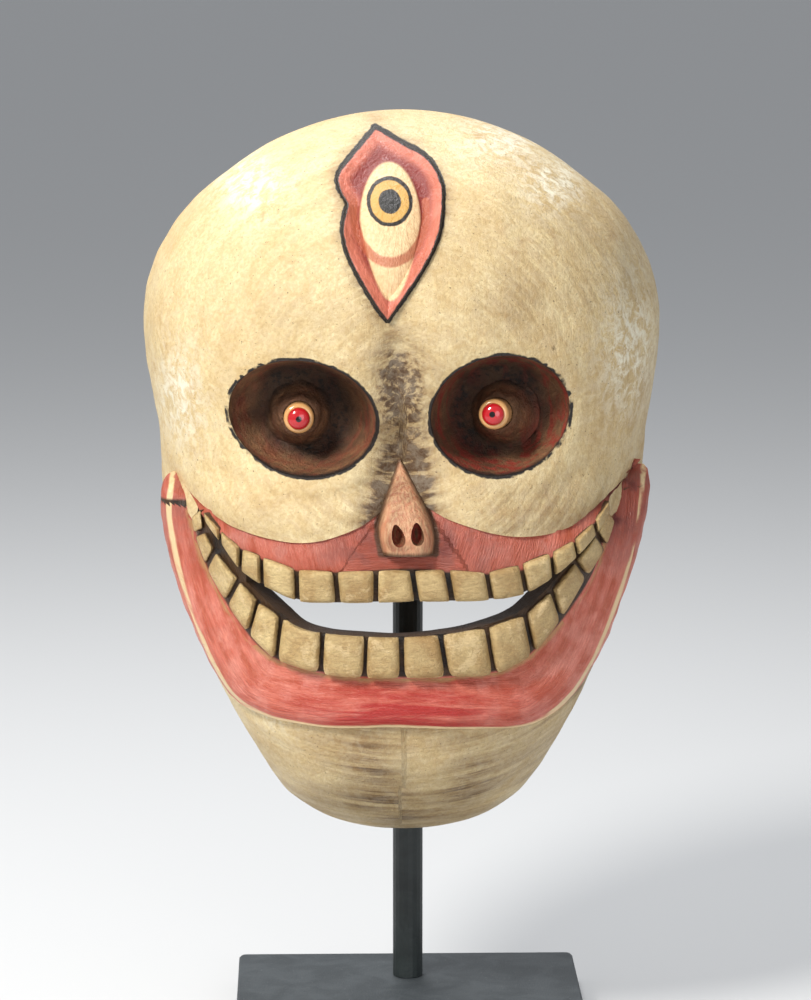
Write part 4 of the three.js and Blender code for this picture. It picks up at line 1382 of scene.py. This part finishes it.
    def black_steel(self) -> bpy.types.Material:
        """Satin black paint of the rod."""
        material, w = self._start("satin black steel")
        place = w.place()
        old = self._group(w, self.weathering, Vector=place, Size=1.5)
        colour = w.blend(old.outputs["Clouds"], (30, 36, 36), (42, 49, 49))
        self._finish(w, colour, 0.45, old.outputs["Speckle"], 0.05)
        return material

    def slate_steel(self) -> bpy.types.Material:
        """Scuffed slate paint of the foot plate."""
        material, w = self._start("slate steel")
        place = w.place()
        old = self._group(w, self.weathering, Vector=place, Size=2.0)
        colour = w.blend(old.outputs["Clouds"], (52, 58, 62), (66, 72, 76))
        colour = w.blend(w.maths("MULTIPLY", old.outputs["Pits"], 0.6), colour, (150, 156, 160))
        self._finish(w, colour, 0.55, old.outputs["Speckle"], 0.08)
        return material


# ---------------------------------------------------------------- the mask


@dataclass
class SkullMask:
    """The moulded shell with everything that is built onto it."""

    finishes: Finishes
    settle: float = 0.45

    def build(self) -> None:
        """Models the shell, paints it and ties it to the frame."""
        f = self.finishes
        bone, lips, tooth = f.bone(), f.lips(), f.teeth()
        socket_paint, eye_paint, pulp = f.sockets(), f.third_eye(), f.pulp()
        skull = dress(self._outer(), bone)
        skull = combine(skull, dress(MOUTH.clearance(), lips), Join.CUT)
        skull = combine(skull, dress(MOUTH.bed(), lips), Join.ADD)
        skull = combine(skull, dress(MOUTH.teeth(), tooth), Join.ADD)
        skull = combine(skull, dress(NOSE.body(), f.nose()), Join.ADD)
        skull = combine(skull, dress(THIRD_EYE.clearance(), bone), Join.CUT)
        skull = combine(skull, dress(THIRD_EYE.rim(), eye_paint), Join.ADD)
        skull = combine(skull, dress(THIRD_EYE.eyeball(), eye_paint), Join.ADD)
        log.info("outside ready")
        mask = self._copy(skull)
        mask = combine(mask, dress(self._hollow(), pulp), Join.CUT)
        for socket in SOCKETS:
            pocket = combine(dress(socket.funnel(SKULL.wall), pulp), self._copy(skull), Join.KEEP)
            mask = combine(mask, pocket, Join.ADD)
        bpy.data.objects.remove(skull)
        for socket in SOCKETS:
            mask = combine(mask, dress(socket.funnel(0), socket_paint), Join.CUT)
            mask = combine(mask, dress(socket.stump(), socket_paint), Join.ADD)
            mask = combine(mask, dress(socket.seat(), socket_paint), Join.CUT)
        for hole in NOSE.holes():
            mask = combine(mask, dress(hole, socket_paint), Join.CUT)
        mask = combine(mask, dress(MOUTH.slot(), tooth), Join.CUT)
        mask = combine(mask, dress(self._behind_rim(), pulp), Join.CUT)
        mask.name = mask.data.name = "skull_mask"
        self._keep_in_box(mask)
        self._measure(mask)
        finish_piece(mask, ["mask"], crease=0.75)

    def _copy(self, obj: bpy.types.Object) -> bpy.types.Object:
        """A second object with its own mesh."""
        made = obj.copy()
        made.data = obj.data.copy()
        bpy.context.scene.collection.objects.link(made)
        return made

    def _outer(self) -> bpy.types.Object:
        """The skull's outside, its edges softened round the mouth, the sockets and the third eye."""

        def place(azimuth: np.ndarray, polar: np.ndarray) -> np.ndarray:
            """Places the skull's points."""
            z = SKULL.mid_z + SKULL.half_tall * np.cos(polar)
            turned = SKULL.crowd_forward(azimuth)
            plain, _ = SKULL.skin(turned, z, np.zeros_like(z))
            lift = 0.35 * ripples(plain, 38, 3) + 0.16 * ripples(plain, 13, 4) - self.settle
            front = np.cos(turned) > 0.1
            at = plain[front][:, (0, 2)]
            soften = np.zeros(len(at))
            paths = [(MOUTH.outline()[:161], 1.3, 2.4), (np.vstack([THIRD_EYE.path(), THIRD_EYE.path()[:1]]), 0.7, 2.2)]
            paths += [(socket.rim_path(), 1.0, 2.2) for socket in SOCKETS]
            paths += [(np.vstack([NOSE.outline(), NOSE.outline()[:1]]), 0.9, 2.6)]
            paths += [(along(line, np.linspace(0, 1, 41)), deep, reach) for line, deep, reach in SKULL.creases]
            for path, deep, reach in paths:
                soften += deep * bump(distance(at, path) / reach)
            lift[front] -= soften
            lift *= smooth_step(0, 0.15, np.sin(polar))
            points, _ = SKULL.skin(turned, z, lift)
            pole = np.sin(polar) < 1e-4
            points[pole] = np.stack([np.full(pole.sum(), SKULL.centre_x), SKULL.ring_centre_y(z[pole]), z[pole]], 1)
            return points

        return egg("skull", 210, 170, place)

    def _hollow(self) -> bpy.types.Object:
        """Air inside the shell."""
        shrink = (SKULL.half_tall - SKULL.wall) / SKULL.half_tall

        def place(azimuth: np.ndarray, polar: np.ndarray) -> np.ndarray:
            """Places the hollow's points."""
            z = SKULL.mid_z + SKULL.half_tall * np.cos(polar)
            turned = SKULL.crowd_forward(azimuth)
            at_mouth = smooth_step(140, 165, z) * (1 - smooth_step(222, 240, z)) * smooth_step(0.1, 0.5, np.cos(turned))
            offset = -SKULL.wall - (SKULL.mouth_wall - SKULL.wall) * at_mouth
            plain, _ = SKULL.skin(turned, z, offset)
            points, _ = SKULL.skin(turned, z, offset + 0.7 * ripples(plain, 22, 8) + 0.3 * ripples(plain, 8, 9))
            points[:, 2] = SKULL.mid_z + (z - SKULL.mid_z) * shrink
            pole = np.sin(polar) < 1e-4
            points[pole, 0] = SKULL.centre_x
            points[pole, 1] = SKULL.ring_centre_y(z[pole])
            return points

        return egg("hollow", 100, 80, place)

    def _behind_rim(self) -> bpy.types.Object:
        """Everything behind the rim, whose cut wavers a little."""
        (top_y, top_z), (low_y, low_z) = SKULL.rim_crown, SKULL.rim_chin
        lean = math.atan2(top_y - low_y, top_z - low_z)
        up = np.array([0, math.sin(lean), math.cos(lean)])
        back = np.array([0, math.cos(lean), -math.sin(lean)])
        start = np.array([0, low_y, low_z])

        def place(u: np.ndarray, v: np.ndarray, front: bool) -> np.ndarray:
            """A sheet with a back far behind it."""
            flat = start + np.outer(u - 0.5, [400, 0, 0]) + np.outer(0.5 - v, up * 900)
            if not front:
                return flat + back * 300
            return flat + back * (0.5 * ripples(flat, 40, 21))[:, None]

        return slab("behind_rim", 80, 160, place)

    def _keep_in_box(self, mask: bpy.types.Object) -> None:
        """Trims the few points that the hand-made unevenness lifts past the frame's own box."""
        low, high = (np.array(corner) / MM for corner in CAD_BOX)
        for vert in mask.data.vertices:
            vert.co = np.clip(vert.co, low, high)

    def _measure(self, mask: bpy.types.Object) -> None:
        """Stores on each vertex what the paints need to know about its place."""
        mesh = mask.data
        co = np.empty(len(mesh.vertices) * 3)
        mesh.vertices.foreach_get("co", co)
        co = co.reshape(-1, 3)
        face = co[:, 1] < 20
        found = self._front_measures(co[face])
        for name, (value, elsewhere) in found.items():
            full = np.full(len(co), elsewhere, np.float32)
            full[face] = value
            mesh.attributes.new(name, "FLOAT", "POINT").data.foreach_set("value", full)

    def _front_measures(self, co: np.ndarray) -> dict[str, tuple[np.ndarray, float]]:
        """Works out the paints' measures on the front.

        Args:
            co: the front's points, in millimetres.

        Returns:
            Name of each measure, its values, and its value behind the front.
        """
        at = co[:, (0, 2)]
        x, z = at.T
        t = np.linspace(0, 1, 161)
        lip, run = nearest(at, along(MOUTH.lip_edge, t))
        below_gum = height_at(MOUTH.gum_line, x) - z
        foot = distance(at, along(MOUTH.tooth_foot, t)) * np.where(z > height_at(MOUTH.tooth_foot, x), 1, -1)
        in_teeth = np.minimum(below_gum, foot)
        nose = np.abs(within(at, NOSE.outline()))
        rim = np.full(len(at), 50.0)
        channel = np.zeros(len(at))
        plain, normal = SKULL.on_face(x, np.clip(z, SKULL.chin_z + 1, SKULL.crown_z - 1), 0.0)
        deep = co[:, 1] - plain[:, 1]
        for socket in SOCKETS:
            outline = socket.rim_path()[:-1]
            near = -within(at, outline)
            rim = np.where(np.abs(near) < np.abs(rim), near, rim)
            axis = np.hypot(x - socket.stump_x, z - socket.stump_z)
            ring = smooth_step(10.5, 14, axis) * (1 - smooth_step(19, 27, axis)) * smooth_step(15, 27, deep)
            channel = np.maximum(channel, ring * (near < 0))
        leaf = within(at, THIRD_EYE.path())
        flush = smooth_step(-22, -2, rim) * mix(0.35, 1.0, smooth_step(-10, 25, np.abs(x + 6) * np.sign(x + 6) + 12))
        iris = np.hypot(x - THIRD_EYE.iris[0], z - THIRD_EYE.iris[1])
        dx, dz = (x - THIRD_EYE.iris[0]) / 15, (z - 366) / 20
        crescent = np.where(dz < 0.25, np.abs(np.hypot(dx, dz) - 1) * 17, 50)
        brow = np.array([-5.0, 290.0])
        turn = np.arctan2(x - brow[0], z - brow[1])
        radius = np.hypot(*(at - brow).T)
        middle = bump((x + 5) / 46) * smooth_step(176, 160, z)
        rise = np.einsum("ij,ij->i", co - plain, normal)
        return {
            "lip": (lip, 50.0),
            "along_lip": (run, 0.0),
            "to_teeth": (np.where(foot < 0, -foot, 50.0), 50.0),
            "in_teeth": (np.clip(in_teeth, -20, 20), -20.0),
            "tooth_rise": (rise, 0.0),
            "nose_line": (nose, 50.0),
            "line": (np.minimum(np.abs(rim - 0.2), np.abs(leaf + 0.4)), 50.0),
            "leaf": (leaf, -50.0),
            "ball": (within(at, self._ball_path()), -50.0),
            "iris": (iris, 50.0),
            "crescent": (crescent, 50.0),
            "channel": (channel, 0.0),
            "flush": (np.clip(flush, 0, 1), 0.0),
            "crimson": (np.clip(middle, 0, 1), 0.0),
            "painted_gum_shade": (self._painted_gum_shade(x, z), 0.0),
            "stain_and_shade": (self._stain_and_shade(at), 0.15),
            "worn": (self._rubbed_and_highlit(x, z), 0.0),
            "round_brow": (turn * 70, 0.0),
            "from_brow": (radius, 0.0),
        }

    def _ball_path(self) -> np.ndarray:
        """Outline of the eyeball."""
        azimuth = np.linspace(0, 2 * math.pi, 120, endpoint=False)
        up = np.cos(azimuth)
        reach = np.where(up > 0, THIRD_EYE.ball_top, THIRD_EYE.ball_bottom)
        taper = np.where(up < 0, 1 + 0.35 * up, 1)
        x = THIRD_EYE.ball[0] + np.sin(azimuth) * THIRD_EYE.ball_half * taper * 0.93
        return np.stack([x, THIRD_EYE.ball[1] + up * reach * 0.93], 1)

    def _painted_gum_shade(self, x: np.ndarray, z: np.ndarray) -> np.ndarray:
        """Painted shade: dark red on the gums under the nose, on the upper gums below the cheeks and in the mouth's
        hollow corners, deepest on the right.
        """
        under_nose = 0.7 * bump((x + 3) / 30) * bump((z - 228) / 10)
        right = 0.85 * bump((x - 88) / 12) * bump((z - 240) / 14)
        left = 0.35 * bump((x + 94) / 9) * bump((z - 240) / 10)
        gums = 0.3 * smooth_step(205, 218, z)
        return np.clip(under_nose + right + left + gums, 0, 1)

    def _stain_and_shade(self, at: np.ndarray) -> np.ndarray:
        """Brown darkening, thickest between the eyes and round the nose; towards the chin, on the right side and on the
        right cheek and forehead it is painted shade.
        """
        x, z = at.T
        uneven = ripples(np.column_stack([at, 0 * x]), 30, 61)
        between_eyes = 1.05 * bump((x + 6) / 14) * bump(((z - 281) / 36) ** 2)
        round_nose = 0.8 * bump(distance(at, NOSE.outline()) / 8)
        # painted shade: the chin darkens towards its underside, and the right cheek, forehead and side are darker than
        # the left where less light falls
        chin = 0.4 * smooth_step(152, 118, z)
        forehead = 0.3 * bump((x - 48) / 28) * bump((z - 338) / 26) + 0.2 * bump((x + 45) / 22) * bump((z - 322) / 12)
        cheeks = 0.35 * bump((x - 50) / 32) * bump((z - 240) / 18) + 0.22 * bump((x + 48) / 32) * bump((z - 240) / 16)
        side = 0.14 * smooth_step(10, 100, x)
        teeth = 0.45 * smooth_step(-60, -25, x) * (z < 220)
        edges = 0.4 * bump(distance(at, THIRD_EYE.path()) / 4)
        total = between_eyes + round_nose + chin + forehead + cheeks + side + edges
        return np.clip(np.where(z < 222, np.maximum(total, teeth), total) * (1 + 0.35 * uneven), 0, 1)

    def _rubbed_and_highlit(self, x: np.ndarray, z: np.ndarray) -> np.ndarray:
        """Places rubbed down to the white ground, together with painted highlights on the lit top and temple edges."""
        spots = ((-68, 374, 13, 10), (60, 375, 13, 9), (92, 306, 12, 26), (-98, 286, 10, 20), (40, 392, 18, 8), (-60, 160, 10, 10))
        rubbed_and_highlit = sum(bump((x - cx) / wide) * bump((z - cz) / tall) for cx, cz, wide, tall in spots)
        return np.clip(1.1 * rubbed_and_highlit + 0.12, 0, 1)


# ---------------------------------------------------------------- pegs and stand


@dataclass
class EyePeg:
    """One lacquered peg."""

    socket: Socket
    material: bpy.types.Material

    def build(self) -> None:
        """Models the peg and stores each vertex's distance from its axis."""
        obj = dress(self.socket.peg(), self.material)
        mesh = obj.data
        co = np.array([v.co for v in mesh.vertices])
        tip = self.socket.dome_centre()
        aim = np.array(Vector((self.socket.lean_x, -1, self.socket.lean_z)).normalized())
        back = (tip - co) @ aim
        radial = np.linalg.norm(co - tip + np.outer(back, aim), axis=1)
        reach = np.where(back > self.socket.dome_rise + 0.3, np.maximum(radial, self.socket.dome_radius + 1), radial)
        layer = mesh.attributes.new("reach", "FLOAT", "POINT")
        layer.data.foreach_set("value", reach.astype(np.float32))
        finish_piece(obj, [f"eye_peg_{self.socket.side}"])


@dataclass
class Stand:
    """Rod and foot plate, carried over from the frame with their own finishes."""

    finishes: Finishes

    def build(self) -> None:
        """Paints the two steel pieces."""
        for node, material in (("stand_post", self.finishes.black_steel()), ("stand_base", self.finishes.slate_steel())):
            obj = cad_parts[node]
            obj.data.materials.clear()
            obj.data.materials.append(material)
            log.info("%s painted", node)


# ---------------------------------------------------------------- studio


@dataclass
class Studio:
    """Floor, lights and camera."""

    camera_at: tuple[float, float, float] = (-44.19, -1739.6, 523.63)
    camera_to: tuple[float, float, float] = (-1.0, 27.5, 229.1)
    lens: float = 146.27

    def build(self) -> None:
        """Sets up the studio."""
        self._floor()
        self._lights()
        self._camera()

    def _floor(self) -> None:
        """A plain pale floor that runs on behind."""
        bm = bmesh.new()
        bmesh.ops.create_grid(bm, x_segments=1, y_segments=1, size=40)
        floor = to_object("floor", bm)
        material = bpy.data.materials.new("pale floor")
        material.use_nodes = True
        shader = material.node_tree.nodes["Principled BSDF"]
        shader.inputs["Base Color"].default_value = (0.62, 0.63, 0.64, 1)
        shader.inputs["Roughness"].default_value = 0.9
        dress(floor, material)
        floor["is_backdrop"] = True

    def _lamp(self, name: str, at: Sequence[float], size: float, power: float, colour: Sequence[float]) -> None:
        """One soft lamp aimed at the mask."""
        data = bpy.data.lights.new(name, "AREA")
        data.shape = "DISK"
        data.size = size
        data.energy = power
        data.color = tuple(colour)
        lamp = bpy.data.objects.new(name, data)
        bpy.context.scene.collection.objects.link(lamp)
        lamp.location = at
        lamp.rotation_euler = (Vector((0, 0, 0.26)) - Vector(at)).to_track_quat("-Z", "Y").to_euler()

    def _lights(self) -> None:
        """Key from the upper left, fill in front, rim light above."""
        self._lamp("key", (-0.9, -0.95, 1.35), 0.5, 30, (1, 0.97, 0.92))
        self._lamp("fill", (0.5, -1.9, 0.55), 1.2, 9, (0.96, 0.97, 1))
        self._lamp("top", (-0.2, 0.5, 1.4), 0.6, 12, (1, 1, 1))
        world = bpy.data.worlds.new("studio")
        world.use_nodes = True
        world.node_tree.nodes["Background"].inputs["Color"].default_value = (0.8, 0.82, 0.85, 1)
        world.node_tree.nodes["Background"].inputs["Strength"].default_value = 0.5
        bpy.context.scene.world = world

    def _camera(self) -> None:
        """The camera, a little above the mask's middle."""
        data = bpy.data.cameras.new("camera")
        data.lens = self.lens
        data.sensor_width = 36
        data.clip_end = 50
        camera = bpy.data.objects.new("camera", data)
        bpy.context.scene.collection.objects.link(camera)
        start, target = Vector(self.camera_at) * MM, Vector(self.camera_to) * MM
        camera.location = start
        camera.rotation_euler = (target - start).to_track_quat("-Z", "Y").to_euler()
        bpy.context.scene.camera = camera
        bpy.context.scene.view_settings.view_transform = "Standard"


def write_sizes() -> None:
    """Works out the frame's box and the dressed part's box side by side; nothing is stored."""
    boxes = {"cad": CAD_BOX, "visual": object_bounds()}
    {name: [list(corner) for corner in box] for name, box in boxes.items()}


def main() -> None:
    """Builds the part and its studio in order."""
    logging.basicConfig(level=logging.INFO, format="%(name)s %(message)s")
    finishes = Finishes()
    SkullMask(finishes).build()
    lacquer = finishes.lacquer()
    for socket in SOCKETS:
        EyePeg(socket, lacquer).build()
    Stand(finishes).build()
    Studio().build()
    write_sizes()


if __name__ == "__main__":
    main()
